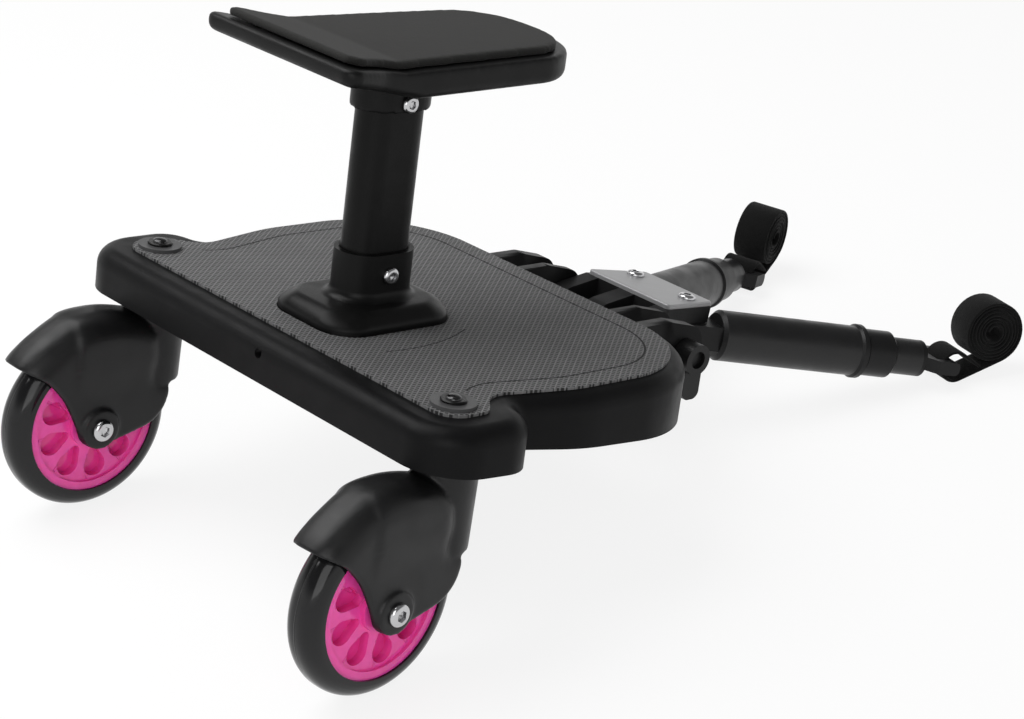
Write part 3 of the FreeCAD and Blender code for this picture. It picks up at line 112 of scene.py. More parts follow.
class BoardSizes(bpy.types.PropertyGroup):
    """Sizes of the pieces that are added to the frame."""
    axle_radius: length("Axle radius", 0.004, "Radius of a wheel's axle bolt")
    axle_face: length("Axle face", 0.022, "From the wheel's middle to the outside of a fork's boss")
    axle_tail: length("Axle tail", 0.0055, "How far the axle bolt stands out through its nut")
    axle_head: length("Axle head", 0.007, "Radius of the axle bolt's head")
    axle_head_rise: length("Axle head rise", 0.0036, "Height of the axle bolt's head")
    cross_radius: length("Cross bolt radius", 0.003, "Radius of the bolts across the seat post")
    cross_head: length("Cross bolt head", 0.0054, "Radius of the head of a bolt across the seat post")
    cross_head_rise: length("Cross bolt head rise", 0.003, "Height of that head")
    pivot_radius: length("Pivot radius", 0.004, "Radius of an arm's pivot screw")
    pivot_head: length("Pivot head", 0.0058, "Radius of the head of an arm's pivot screw")
    pivot_head_rise: length("Pivot head rise", 0.0028, "Height of the head of an arm's pivot screw")
    pivot_seat: length("Pivot seat", 0.0222, "Underside of a pivot screw's head over the arm's middle")
    pivot_tail: length("Pivot tail", 0.023, "End of a pivot screw below the arm's middle")
    king_radius: length("Kingpin radius", 0.005, "Radius of a caster's kingpin")
    king_collar: length("Kingpin collar", 0.0076, "Radius of the black collar under a kingpin's dome")
    king_dome: length("Kingpin dome", 0.0046, "Radius of a kingpin's dome")
    king_seat: length("Kingpin seat", 0.0041, "Underside of a kingpin's collar over the deck")
    king_collar_rise: length("Kingpin collar rise", 0.0014, "Height of the collar")
    king_dome_rise: length("Kingpin dome rise", 0.0034, "Height of the collar and dome together")
    king_tail: length("Kingpin tail", 0.0568, "End of a kingpin below the deck's top")
    fork_wall: length("Fork wall", 0.0192, "Half width of a fork's mudguard")
    fork_cheek: length("Fork cheek", 0.0016, "How far a fork's cheeks stand out past its mudguard")
    fork_arch: length("Fork arch", 0.017, "Round across a fork's crown")
    fork_edge: length("Fork edge", 0.002, "Round of a fork's lower edge")
    fork_voxel: length("Fork voxel", 0.0012, "Fineness of a fork's mesh")
    crease_back: length("Crease back", 0.0195, "From the axle back to the crease between mudguard and cheek")
    crease_wide: length("Crease width", 0.003, "Width of that crease")
    crease_low: length("Crease foot", 0.020, "Height over the axle where the crease has faded out")
    crease_high: length("Crease head", 0.045, "Height over the axle from which the crease is full")
    stem_top: length("Stem top", 0.0719, "Top of a fork's stem over the axle")
    stem_radius: length("Stem radius", 0.0192, "Radius of a fork's stem at its top")
    stem_foot: length("Stem foot", 0.0180, "Radius of a fork's stem at its foot")
    stem_low: length("Stem low", 0.022, "Foot of a fork's stem over the axle")
    boss_radius: length("Boss radius", 0.0128, "Radius of the boss round a wheel's axle")
    room_radius: length("Wheel room radius", 0.0576, "Radius of the room in a fork for its wheel")
    room_half: length("Wheel room half width", 0.016, "Half width of that room")
    bore_gap: length("Bore gap", 0.00005, "Gap between a bolt and its bore")
    nut_bore: length("Nut bore", 0.0079, "Radius of the pocket for a kingpin's nut")
    nut_top: length("Nut top", 0.053, "Top of that pocket over the axle")
    seat_lip: length("Seat lip", 0.1636, "Height of the seat's lip over the deck")
    seat_under: length("Seat underside", 0.142, "Height of the seat's underside over the deck")
    seat_foot: length("Seat foot", 0.1265, "Height of the foot of the seat's collar over the deck")
    seat_thin: length("Seat thinning", 0.005, "How far the underside is drawn up")
    seat_waist: length("Seat waist", 0.080, "From the swivels ahead to where the seat's nose starts")
    seat_nose: length("Seat nose", 0.173, "From the swivels ahead to the seat's nose")
    nose_back: length("Nose back", 0.012, "How far the nose is drawn back")
    pad_rear: length("Pad rear", 0.023, "From the swivels back to the pad's rear edge")
    pad_back: length("Pad back", 0.006, "How far the pad's rear edge is drawn out over the lip")
    pad_lift: length("Pad lift", 0.002, "How far the pad's rear edge is lifted onto the lip")
    seat_voxel: length("Seat voxel", 0.0013, "Fineness of the seat's mesh")
    flange_ahead: length("Flange ahead", 0.048, "From the swivels ahead to the middle of the socket's flange")
    flange_long: length("Flange length", 0.046, "Half length of the socket's flange")
    flange_wide: length("Flange width", 0.037, "Half width of the socket's flange")
    flange_foot: length("Flange foot", 0.004, "Height over the deck up to which the flange keeps its corners")
    flange_top: length("Flange top", 0.0125, "Height of the flange's top over the deck")
    neck_foot: length("Neck foot", 0.020, "Height over the deck from which the socket keeps its section")
    rib_end: length("Rib end", 0.006, "Side of the largest rib end that is trimmed off the deck's shoulder")
    line_inset: length("Mat line inset", 0.0152, "From the mat's edge to the line round it")
    line_wide: length("Mat line width", 0.0013, "Width of the mat's border line")
    line_rise: length("Mat line rise", 0.00006, "How far the lines' dark floor shows over the mat's top")
    dash_column: length("Dash column", 0.0027, "From one column of the mat's slots to the next")
    dash_row: length("Dash row", 0.0030, "From one slot of a column to the next")
    mat_turn: degrees("Mat turn", 40, "Turn of the mat's columns")
    line_step: length("Mat line step", 0.003, "From one point of the mat's border line to the next")
    bend_wide: length("Bend width", 0.00091, "Width of the bent line in the mat's middle")
    bend_beside: length("Bend beside", 0.040, "From the deck's middle left to the centre of that bend")
    bend_ahead: length("Bend ahead", 0.035, "From the swivels ahead to that centre")
    bend_radius: length("Bend radius", 0.1025, "Radius of that bend")
    bend_from: degrees("Bend start", -10, "Where that bend starts, from straight across")
    bend_to: degrees("Bend end", 30, "Where that bend ends")
    strap_wide: length("Strap width", 0.025, "Width of a strap")
    strap_thick: length("Strap thickness", 0.002, "Thickness of a strap")
    strap_drift: length("Strap drift", 0.00045, "How far the turns of a rolled strap drift aside")
    strap_gap: length("Strap gap", 0.0004, "Gap between the turns of a rolled strap")
    loop_ahead: length("Loop ahead", 0.2037, "From an arm's pivot to the middle of its strap's loop")
    loop_radius: length("Loop radius", 0.010, "Radius of the loop round the buckle's bar")
    loop_mouth: length("Loop mouth", 0.017, "How far the sewn tail reaches past the loop's middle")
    roll_ahead: length("Roll ahead", 0.023, "From the loop's middle to the roll's, along the arm")
    roll_above: length("Roll above", 0.0265, "From the loop's middle to the roll's, square to the arm")
    roll_radius: length("Roll radius", 0.0210, "Radius of a roll's outermost turn")
    roll_core: length("Roll core", 0.005, "Radius of a roll's innermost turn")
    pad_crown: length("Pad crown", 0.0009, "How far the foam pad's middle stands over its edge")
    pad_voxel: length("Pad voxel", 0.0016, "Fineness of the foam pad's mesh")
    core_floor: length("Core floor", 0.0045, "Half thickness below which the hub counts as a deep recess")
    core_ribs: IntProperty(name="Hub recesses", description="Recesses round a wheel's hub", default=9, min=3)
    slot_half: length("Slot half width", 0.0007, "Half width of the hub's slots between its recesses")
    slot_inner: length("Slot inner end", 0.0205, "From the axle to the inner ends of those slots")
    slot_outer: length("Slot outer end", 0.0375, "From the axle to the outer ends of those slots")
    slot_fade: length("Slot fade", 0.001, "How softly the ends of those slots fade")


class BoardColours(bpy.types.PropertyGroup):
    """Colours of the finishes."""
    deck: colour("Deck", (0.0050, 0.0050, 0.0053), "Black of the deck's moulding")
    fork: colour("Fork", (0.0055, 0.0055, 0.0058), "Black of the forks")
    seat: colour("Seat", (0.0045, 0.0045, 0.0045), "Black of the seat's pan")
    post: colour("Post", (0.0042, 0.0042, 0.0042), "Black of the seat post and its socket")
    mat_ridge: colour("Mat ridges", (0.190, 0.190, 0.192), "Grey of the mat's top")
    # Painted shade: the floor of the mat's slots is painted this dark colour, and the random grime mottle
    # also darkens towards it
    mat_shade_and_grime: colour("Mat floor", (0.020, 0.020, 0.020), "Dark floor of the mat's slots")
    pad: colour("Pad", (0.012, 0.0118, 0.011), "Dark grey of the foam pad")
    tyre: colour("Tyre", (0.006, 0.006, 0.0065), "Black of the tyres and the mat's lines")
    core: colour("Hub", (0.96, 0.080, 0.43), "Pink of the hubs")
    # Painted shade: the hubs' recesses and slots are painted in this darker pink
    core_recess_shade: colour("Hub recess", (0.84, 0.050, 0.34), "Darker pink of the hubs' recesses")
    chrome: colour("Chrome", (0.52, 0.52, 0.53), "Bright metal of the screws")
    steel: colour("Steel", (0.42, 0.42, 0.43), "Plain metal of rod and nuts")
    washer: colour("Washer", (0.060, 0.060, 0.061), "Grey of the discs over the swivels")
    bush: colour("Bush", (0.5, 0.5, 0.48), "Off-white of the swivels' bushes")
    plate: colour("Plate", (0.30, 0.30, 0.305), "Light grey of the coupler's top plate")
    coupler: colour("Coupler", (0.010, 0.010, 0.0103), "Black of the coupler's block")
    arm: colour("Arm", (0.008, 0.008, 0.0083), "Black of the arms' tubes")
    collar: colour("Collar", (0.008, 0.008, 0.0083), "Black of the arms' collars and the knob")
    strap: colour("Strap", (0.0025, 0.0025, 0.0025), "Black of the straps")
    floor: colour("Floor", (0.90, 0.90, 0.90), "Pale floor and backdrop")


class BoardCamera(bpy.types.PropertyGroup):
    """Where the picture is taken from."""
    place: FloatVectorProperty(name="Place", description="Where the camera stands", size=3,
                               subtype="TRANSLATION", default=(1.158, -1.0369, 0.8207))
    bearing: degrees("Bearing", 49.16, "Turn of the view about the upright")
    dip: degrees("Dip", 25.99, "How far the view dips below level")
    focal: FloatProperty(name="Focal length", description="Focal length in pixels of the picture",
                         default=2725.6, min=1)


# Frames of the object's parts, read from the joints

def frame_of(origin, across, up):
    """Frame at a point, with X across and Z up."""
    across = Vector(across).normalized()
    up = Vector(up).normalized()
    columns = Matrix((across, up.cross(across), up)).transposed()
    return Matrix.Translation(Vector(origin)) @ columns.to_4x4()


def deck_frame():
    """Deck's top between the two swivels."""
    left, right = (Vector(JOINTS["swivel_" + side]["pos_m"]) for side in SIDES)
    return frame_of((left + right) / 2, right - left, JOINTS["swivel_left"]["axis"])


def swivel_frame(side):
    """Deck's top at a swivel, with Z along its axis."""
    joint = JOINTS["swivel_" + side]
    return frame_of(joint["pos_m"], JOINTS["spin_" + side]["axis"], joint["axis"])


def wheel_frame(side):
    """Wheel's middle, with X along the axle."""
    joint = JOINTS["spin_" + side]
    return frame_of(joint["pos_m"], joint["axis"], JOINTS["swivel_" + side]["axis"])


def arm_frame(side):
    """Arm's pivot, with Y along the arm."""
    joint = JOINTS["swing_" + side]
    up = Vector(joint["axis"])
    ahead = Vector(JOINTS["slide_" + side]["axis"])
    return frame_of(joint["pos_m"], ahead.cross(up), up)


def lengthwise(matrix):
    """The same frame turned so that its Z is the old X."""
    return matrix @ Matrix.Rotation(math.pi / 2, 4, "Y")


# Node trees of the finishes

def node(tree, kind, inputs=None, **settings):
    """New shader node with its settings, values and links."""
    made = tree.nodes.new("ShaderNode" + kind)
    for name, value in settings.items():
        setattr(made, name, value)
    for key, value in (inputs or {}).items():
        if isinstance(value, bpy.types.NodeSocket):
            tree.links.new(value, made.inputs[key])
        else:
            made.inputs[key].default_value = value
    return made


def maths(tree, operation, *values):
    return node(tree, "Math", dict(enumerate(values)), operation=operation).outputs[0]


def ramped(tree, value, low, high, to_low=0.0, to_high=1.0):
    """Value eased from one range to another."""
    inputs = {"Value": value, "From Min": low, "From Max": high, "To Min": to_low, "To Max": to_high}
    return node(tree, "MapRange", inputs, interpolation_type="SMOOTHSTEP").outputs[0]


def blended(tree, share, first, second):
    """Colour between two colours."""
    made = node(tree, "Mix", data_type="RGBA")
    for key, value in ((0, share), (6, first), (7, second)):
        if isinstance(value, bpy.types.NodeSocket):
            tree.links.new(value, made.inputs[key])
        else:
            made.inputs[key].default_value = value if key == 0 else (*value, 1)
    return made.outputs[2]


def place_in(tree, matrix=None):
    """Place on the surface, in a frame of the object where one is given."""
    source = node(tree, "TexCoord").outputs["Object"]
    if matrix is None:
        return source
    inputs = {"Vector": source, "Location": matrix.translation, "Rotation": matrix.to_euler()}
    return node(tree, "Mapping", inputs, vector_type="TEXTURE").outputs[0]


def parts_of(tree, place):
    return node(tree, "SeparateXYZ", {"Vector": place}).outputs


def off_middle(tree, value):
    """How far a value lies from the middle of its whole step."""
    return maths(tree, "ABSOLUTE", maths(tree, "SUBTRACT", maths(tree, "FRACT", value), 0.5))


def from_axle(tree, y, z):
    squares = [maths(tree, "MULTIPLY", part, part) for part in (y, z)]
    return maths(tree, "SQRT", maths(tree, "ADD", *squares))


def noise(tree, scale, place=None, detail=2.0):
    """Cloudy value whose lumps are so many to the metre."""
    source = place_in(tree) if place is None else place
    return node(tree, "TexNoise", {"Vector": source, "Scale": scale, "Detail": detail}).outputs[0]


def shaded(base, share):
    """Colour made darker or lighter."""
    return tuple(min(value * share, 1) for value in base)


def new_finish(name, base, roughness, **sockets):
    """Material and its shader, with the values that are the same all over set on the shader."""
    material = bpy.data.materials.new(name)
    material.use_nodes = True
    shader = material.node_tree.nodes["Principled BSDF"]
    shader.inputs["Base Color"].default_value = (*base, 1)
    shader.inputs["Roughness"].default_value = roughness
    for key, value in sockets.items():
        shader.inputs[key.replace("_", " ")].default_value = value
    return material, shader


def bumped(tree, shader, height, depth, strength=1.0):
    """Height in the shader's normal, over any height that is already there."""
    inputs = {"Height": height, "Distance": depth, "Strength": strength}
    before = shader.inputs["Normal"].links
    if before:
        inputs["Normal"] = before[0].from_socket
    tree.links.new(node(tree, "Bump", inputs).outputs[0], shader.inputs["Normal"])


def tinted(tree, shader, base, scale, share):
    """Colour that drifts a little darker and lighter over the surface."""
    mix = blended(tree, noise(tree, scale), shaded(base, 1 - share), shaded(base, 1 + share))
    tree.links.new(mix, shader.inputs["Base Color"])


def scuffed(tree, shader, rough, scale):
    """Roughness that drifts between two values."""
    drift = ramped(tree, noise(tree, scale), low=0.3, high=0.7, to_low=rough[0], to_high=rough[1])
    tree.links.new(drift, shader.inputs["Roughness"])


# Finishes

def moulded_plastic(name, base, rough=(0.36, 0.46), shine=0.2):
    """Satin moulded plastic with a fine spark-eroded grain."""
    material, shader = new_finish(name, base, rough[0], Specular_IOR_Level=shine)
    tree = material.node_tree
    tinted(tree, shader, base, scale=35.0, share=0.12)
    scuffed(tree, shader, rough, scale=60.0)
    bumped(tree, shader, noise(tree, scale=2200.0), depth=0.00006)
    bumped(tree, shader, noise(tree, scale=90.0), depth=0.00012, strength=0.4)
    return material


def plain_plastic(name, base, rough, depth):
    """Even plastic with a fine grain."""
    material, shader = new_finish(name, base, rough)
    tree = material.node_tree
    bumped(tree, shader, noise(tree, scale=900.0), depth)
    return material


def lacquered_tube(name, base, shine=0.35):
    """Powder-coated metal with a slight orange peel."""
    material, shader = new_finish(name, base, roughness=0.34, Specular_IOR_Level=shine)
    tree = material.node_tree
    tinted(tree, shader, base, scale=50.0, share=0.1)
    scuffed(tree, shader, (0.30, 0.42), scale=80.0)
    bumped(tree, shader, noise(tree, scale=700.0), depth=0.00008)
    return material


def polished_metal(name, base, rough):
    """Bright screw metal with faint turning marks."""
    material, shader = new_finish(name, base, rough, Metallic=1.0)
    tree = material.node_tree
    scuffed(tree, shader, (rough * 0.7, rough * 1.5), scale=400.0)
    bumped(tree, shader, noise(tree, scale=1500.0), depth=0.00002)
    return material


def brushed_plate(name, base, matrix):
    """Light grey plate brushed along its length."""
    material, shader = new_finish(name, base, roughness=0.4, Metallic=0.35)
    tree = material.node_tree
    place = place_in(tree, matrix)
    streaks = node(tree, "Mapping", {"Vector": place, "Scale": (900.0, 25.0, 900.0)}).outputs[0]
    lines = noise(tree, 1.0, streaks, detail=4.0)
    mix = blended(tree, lines, shaded(base, 0.85), shaded(base, 1.12))
    tree.links.new(mix, shader.inputs["Base Color"])
    bumped(tree, shader, lines, depth=0.00003)
    return material


def grip_mat(sizes, colours, matrix):
    """Grey mat with ladders of short dark slots, every second column set off by half a rung; the slots' dark
    floor is painted shade and the lighter rails between pairs of columns are a painted highlight.
    """
    material, shader = new_finish("grip_mat", colours.mat_ridge, roughness=0.62, Specular_IOR_Level=0.3)
    tree = material.node_tree
    x, y, _ = parts_of(tree, place_in(tree, matrix @ Matrix.Rotation(sizes.mat_turn, 4, "Z")))
    column = maths(tree, "DIVIDE", x, sizes.dash_column)
    odd = maths(tree, "MODULO", maths(tree, "ABSOLUTE", maths(tree, "FLOOR", column)), 2.0)
    row = maths(tree, "ADD", maths(tree, "DIVIDE", y, sizes.dash_row), maths(tree, "MULTIPLY", odd, 0.5))
    across = ramped(tree, off_middle(tree, column), low=0.40, high=0.30)
    along = ramped(tree, off_middle(tree, row), low=0.29, high=0.18)
    slot = maths(tree, "MULTIPLY", across, along)
    pair = off_middle(tree, maths(tree, "DIVIDE", column, 2.0))
    rail = ramped(tree, pair, low=0.40, high=0.45)
    grime = ramped(tree, noise(tree, scale=45.0), low=0.3, high=0.7, to_low=0.88, to_high=1.0)
    # Painted highlight: the raised rails between pairs of columns keep the full ridge grey, while the rest of
    # the mat's top is painted darker
    rail_highlighted = blended(tree, rail, shaded(colours.mat_ridge, 0.78), colours.mat_ridge)
    # Painted shade in the slots: where a slot is full the colour is the dark slot colour, and grime darkens
    # towards it at random
    level = maths(tree, "MULTIPLY", maths(tree, "SUBTRACT", 1.0, slot), grime)
    shade = blended(tree, level, colours.mat_shade_and_grime, rail_highlighted)
    tree.links.new(shade, shader.inputs["Base Color"])
    bumped(tree, shader, maths(tree, "SUBTRACT", rail, slot), depth=0.0005)
    bumped(tree, shader, noise(tree, scale=2600.0), depth=0.00008)
    return material


def foam_rubber(name, base):
    """Closed-cell foam with a fine pitted skin."""
    material, shader = new_finish(name, base, roughness=0.78, Specular_IOR_Level=0.15, Sheen_Weight=0.06)
    tree = material.node_tree
    tinted(tree, shader, base, scale=28.0, share=0.1)
    pits = node(tree, "TexVoronoi", {"Vector": place_in(tree), "Scale": 900.0}).outputs["Distance"]
    bumped(tree, shader, pits, depth=0.00012)
    bumped(tree, shader, noise(tree, scale=60.0), depth=0.0003, strength=0.3)
    return material


def shiny_tyre(name, base, matrix):
    """Glossy cast tyre with a parting line round its middle and fine rings on its walls."""
    material, shader = new_finish(name, base, roughness=0.15, Specular_IOR_Level=0.22, Coat_Weight=0.2,
                                  Coat_Roughness=0.04)
    tree = material.node_tree
    x, y, z = parts_of(tree, place_in(tree, matrix))
    scuffed(tree, shader, (0.10, 0.20), scale=70.0)
    rings = maths(tree, "SINE", maths(tree, "MULTIPLY", from_axle(tree, y, z), 2600.0))
    seam = ramped(tree, maths(tree, "ABSOLUTE", x), low=0.0006, high=0.0002)
    bumped(tree, shader, rings, depth=0.00004, strength=0.35)
    bumped(tree, shader, seam, depth=0.0002)
    return material


def clear_hub(sizes, colours, matrix):
    """Translucent pink hub with thin slots between its recesses; the recesses and slots are painted darker as
    painted shade.
    """
    material, shader = new_finish("clear_hub", colours.core, roughness=0.08, Transmission_Weight=0.10,
                                  IOR=1.45, Subsurface_Weight=0.25, Subsurface_Scale=0.004)
    tree = material.node_tree
    x, y, z = parts_of(tree, place_in(tree, matrix))
    out = from_axle(tree, y, z)
    step = 2 * math.pi / sizes.core_ribs
    around = maths(tree, "DIVIDE", maths(tree, "ARCTAN2", y, z), step)
    wide = maths(tree, "MULTIPLY", maths(tree, "MULTIPLY", off_middle(tree, around), out), step)
    begun = ramped(tree, out, sizes.slot_inner, sizes.slot_inner + sizes.slot_fade)
    ended = ramped(tree, out, sizes.slot_outer, sizes.slot_outer - sizes.slot_fade)
    slot = maths(tree, "MULTIPLY", ramped(tree, wide, sizes.slot_half * 1.5, sizes.slot_half),
                 maths(tree, "MULTIPLY", begun, ended))
    # Painted shade: where the hub is thin, in its recesses, and in its slots at 0.8, the pink is painted
    # darker; swirl adds a random darker tone
    recess_shade = ramped(tree, maths(tree, "ABSOLUTE", x), sizes.core_floor * 1.7, sizes.core_floor)
    swirl = ramped(tree, noise(tree, scale=150.0), low=0.35, high=0.7, to_high=0.35)
    dark = maths(tree, "MAXIMUM", maths(tree, "MAXIMUM", recess_shade, maths(tree, "MULTIPLY", slot, 0.8)), swirl)
    tree.links.new(blended(tree, dark, colours.core, colours.core_recess_shade), shader.inputs["Base Color"])
    bumped(tree, shader, maths(tree, "SUBTRACT", 1.0, slot), depth=0.0006)
    bumped(tree, shader, noise(tree, scale=120.0), depth=0.0006, strength=0.3)
    return material


def loop_cloth(name, base):
    """Napped hook-and-loop webbing."""
    material, shader = new_finish(name, base, roughness=0.92, Specular_IOR_Level=0.15, Sheen_Weight=0.06,
                                  Sheen_Roughness=0.5)
    tree = material.node_tree
    tinted(tree, shader, base, scale=220.0, share=0.35)
    bumped(tree, shader, noise(tree, scale=1400.0, detail=5.0), depth=0.0005)
    return material


# Meshes

def new_piece(name, mesh, finishes, body):
    """Object of the scene that rides on a body."""
    piece = bpy.data.objects.new(name, mesh)
    bpy.context.scene.collection.objects.link(piece)
    for finish in finishes:
        mesh.materials.append(finish)
    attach(piece, body)
    return piece


def paint(name, finish):
    """Finish on a node of the frame."""
    mesh = frame["nodes"][name].data
    mesh.materials.clear()
    mesh.materials.append(finish)


def welded(node_name):
    """Editable copy of a node's mesh with its points merged."""
    build = bmesh.new()
    build.from_mesh(frame["nodes"][node_name].data)
    bmesh.ops.remove_doubles(build, verts=build.verts, dist=WELD)
    return build


def closed_mesh(name, build, sharp=None):
    """Mesh of a build with its faces outward, and sharp edges past an angle in degrees where one is given."""
    bmesh.ops.recalc_face_normals(build, faces=build.faces)
    mesh = bpy.data.meshes.new(name)
    build.to_mesh(mesh)
    build.free()
    if sharp is not None:
        mesh.set_sharp_from_angle(angle=math.radians(sharp))
    return mesh


def join_rings(build, ring, following, finish=0):
    """Smooth faces between two closed rings, or between a point and a ring."""
    count = max(len(ring), len(following))
    for index in range(count):
        after = (index + 1) % count
        corners = [ring[index % len(ring)], ring[after % len(ring)],
                   following[after % len(following)], following[index % len(following)]]
        face = build.faces.new(list(dict.fromkeys(corners)))
        face.smooth = True
        face.material_index = finish


def turned_mesh(name, profile, matrix, steps=72, second=()):
    """Mesh turned about the frame's Z from steps of radius, height and whether the ring is six-sided.

    The numbered steps in second take the second finish.
    """
    build = bmesh.new()
    rings = []
    for radius, height, six_sided in profile:
        if radius == 0:
            rings.append([build.verts.new((0, 0, height))])
            continue
        ring = []
        for count in range(steps):
            angle = 2 * math.pi * count / steps
            reach = radius
            if six_sided:
                reach = radius / math.cos(angle % (math.pi / 3) - math.pi / 6)
            ring.append(build.verts.new((reach * math.cos(angle), reach * math.sin(angle), height)))
        rings.append(ring)
    for index, (ring, following) in enumerate(zip(rings, rings[1:])):
        join_rings(build, ring, following, int(index in second))
    build.transform(matrix)
    return closed_mesh(name, build, SHARP)


def arc_steps(radius, low, high, rise, count=6):
    """Quarter-round from a rim at one height up and in to a flat at another."""
    steps = []
    for index in range(count + 1):
        angle = math.pi / 2 * index / count
        steps.append((high + (radius - high) * math.cos(angle), low + rise * math.sin(angle), False))
    return steps


def socket_bolt(head, rise, shank, tail):
    """Profile of a button-head bolt with a six-sided socket; its head sits on height zero."""
    mouth = head * 0.42
    bottom = rise - rise * 0.72
    tip = bottom - head * 0.08
    screw = [(0, -tail, False), (shank * 0.8, -tail, False), (shank, -tail + shank * 0.25, False)]
    under = [(shank, 0, False), (head * 0.96, 0, False), (head, rise * 0.08, False)]
    dome = arc_steps(head, rise * 0.3, mouth * 1.35, rise * 0.7)
    socket = [(mouth * 1.06, rise, True), (mouth, rise * 0.94, True), (mouth, bottom, True),
              (mouth * 0.5, tip, False), (0, tip, False)]
    return screw + under + dome + socket


def top_rim(node_name, up, level=1e-5):
    """Longest closed run of edges round the top of a node, as points in order."""
    build = welded(node_name)
    top = max(vertex.co.dot(up) for vertex in build.verts)
    flat = {face for face in build.faces if all(top - vertex.co.dot(up) < level for vertex in face.verts)}
    rim = [edge for edge in build.edges if sum(face in flat for face in edge.link_faces) == 1]
    nearby = {}
    for edge in rim:
        for vertex in edge.verts:
            nearby.setdefault(vertex, []).append(edge.other_vert(vertex))
    runs = []
    while nearby:
        start = next(iter(nearby))
        run = [start]
        while True:
            following = [other for other in nearby.pop(run[-1]) if other in nearby]
            if not following:
                break
            run.append(following[0])
        runs.append([vertex.co.copy() for vertex in run])
    build.free()
    return max(runs, key=lambda run: sum((b - a).length for a, b in zip(run, run[1:])))


def trimmed_shell(name, largest, fold=25):
    """The deck's moulding with patches up to an area trimmed off where a fold in degrees bounds them.

    These patches are the ends of ribs, which stand out of the deck's shoulder.
    """
    build = welded("deck_shell")
    build.normal_update()
    seams = set()
    for edge in build.edges:
        near, far = edge.link_faces
        hollow = near.normal.dot(far.calc_center_median() - near.calc_center_median()) > 0
        if hollow and near.normal.angle(far.normal) > math.radians(fold):
            seams.add(edge)
    left = dict.fromkeys(build.faces)
    while left:
        patch = [left.popitem()[0]]
        for face in patch:
            for edge in face.edges:
                beyond = [other for other in edge.link_faces if other in left and edge not in seams]
                for other in beyond:
                    del left[other]
                patch.extend(beyond)
        if sum(face.calc_area() for face in patch) < largest:
            rim = [edge for face in patch for edge in face.edges if edge in seams]
            bmesh.ops.delete(build, geom=patch, context="FACES_KEEP_BOUNDARY")
            bmesh.ops.holes_fill(build, edges=rim, sides=0)
    for face in build.faces:
        face.smooth = True
    return closed_mesh(name, build, SHARP)


def evenly(points, step):
    """Closed run of points set out again at even steps."""
    closed = points + points[:1]
    spread = []
    spare = 0.0
    for start, end in zip(closed, closed[1:]):
        span = (end - start).length
        along = spare
        while along < span:
            spread.append(start.lerp(end, along / span))
            along += step
        spare = along - span
    return spread


def drawn_line(name, points, wide, matrix):
    """Thin flat line through points of a frame's ground plane."""
    build = bmesh.new()
    before = None
    for index, point in enumerate(points):
        ahead = points[min(index + 1, len(points) - 1)] - points[max(index - 1, 0)]
        side = Vector((ahead.y, -ahead.x, 0)).normalized() * wide / 2
        pair = [build.verts.new(matrix @ (point + side)), build.verts.new(matrix @ (point - side))]
        if before:
            build.faces.new((before[0], pair[0], pair[1], before[1]))
        before = pair
    bmesh.ops.recalc_face_normals(build, faces=build.faces)
    up = matrix.to_3x3() @ UP
    build.normal_update()
    if sum(face.normal.dot(up) for face in build.faces) < 0:
        bmesh.ops.reverse_faces(build, faces=build.faces)
    mesh = bpy.data.meshes.new(name)
    build.to_mesh(mesh)
    build.free()
    return mesh


def border_points(sizes, matrix):
    """Line round the mat at an even distance from its edge, from one of the deck's ears to the other."""
    inverse = matrix.inverted()
    rim = evenly([inverse @ point for point in top_rim("deck_mat", matrix.to_3x3() @ UP)], sizes.line_step)
    top = rim[0].z + sizes.line_rise
    centre = sum(rim, Vector()) / len(rim)
    start = EAR_SHARE * abs((inverse @ Vector(JOINTS["swivel_left"]["pos_m"])).x)
    drawn = []
    for index, point in enumerate(rim):
        ahead = rim[(index + 2) % len(rim)] - rim[index - 2]
        inward = Vector((-ahead.y, ahead.x, 0)).normalized()
        if inward.dot(centre - point) < 0:
            inward = -inward
        place = point + inward * sizes.line_inset
        if place.y > start:
            drawn.append(Vector((place.x, place.y, top)))
    split = max(range(len(drawn)), key=lambda index: (drawn[index] - drawn[index - 1]).length)
    return drawn[split:] + drawn[:split]


def bend_points(sizes, top, steps=24):
    """Bent line in the mat's middle."""
    centre = Vector((-sizes.bend_beside, sizes.bend_ahead))
    bend = []
    for index in range(steps + 1):
        angle = sizes.bend_from + (sizes.bend_to - sizes.bend_from) * index / steps
        bend.append(on_round(centre, sizes.bend_radius, angle).to_3d() + UP * top)
    return bend


def on_round(centre, radius, angle):
    return centre + Vector((math.cos(angle), math.sin(angle))) * radius


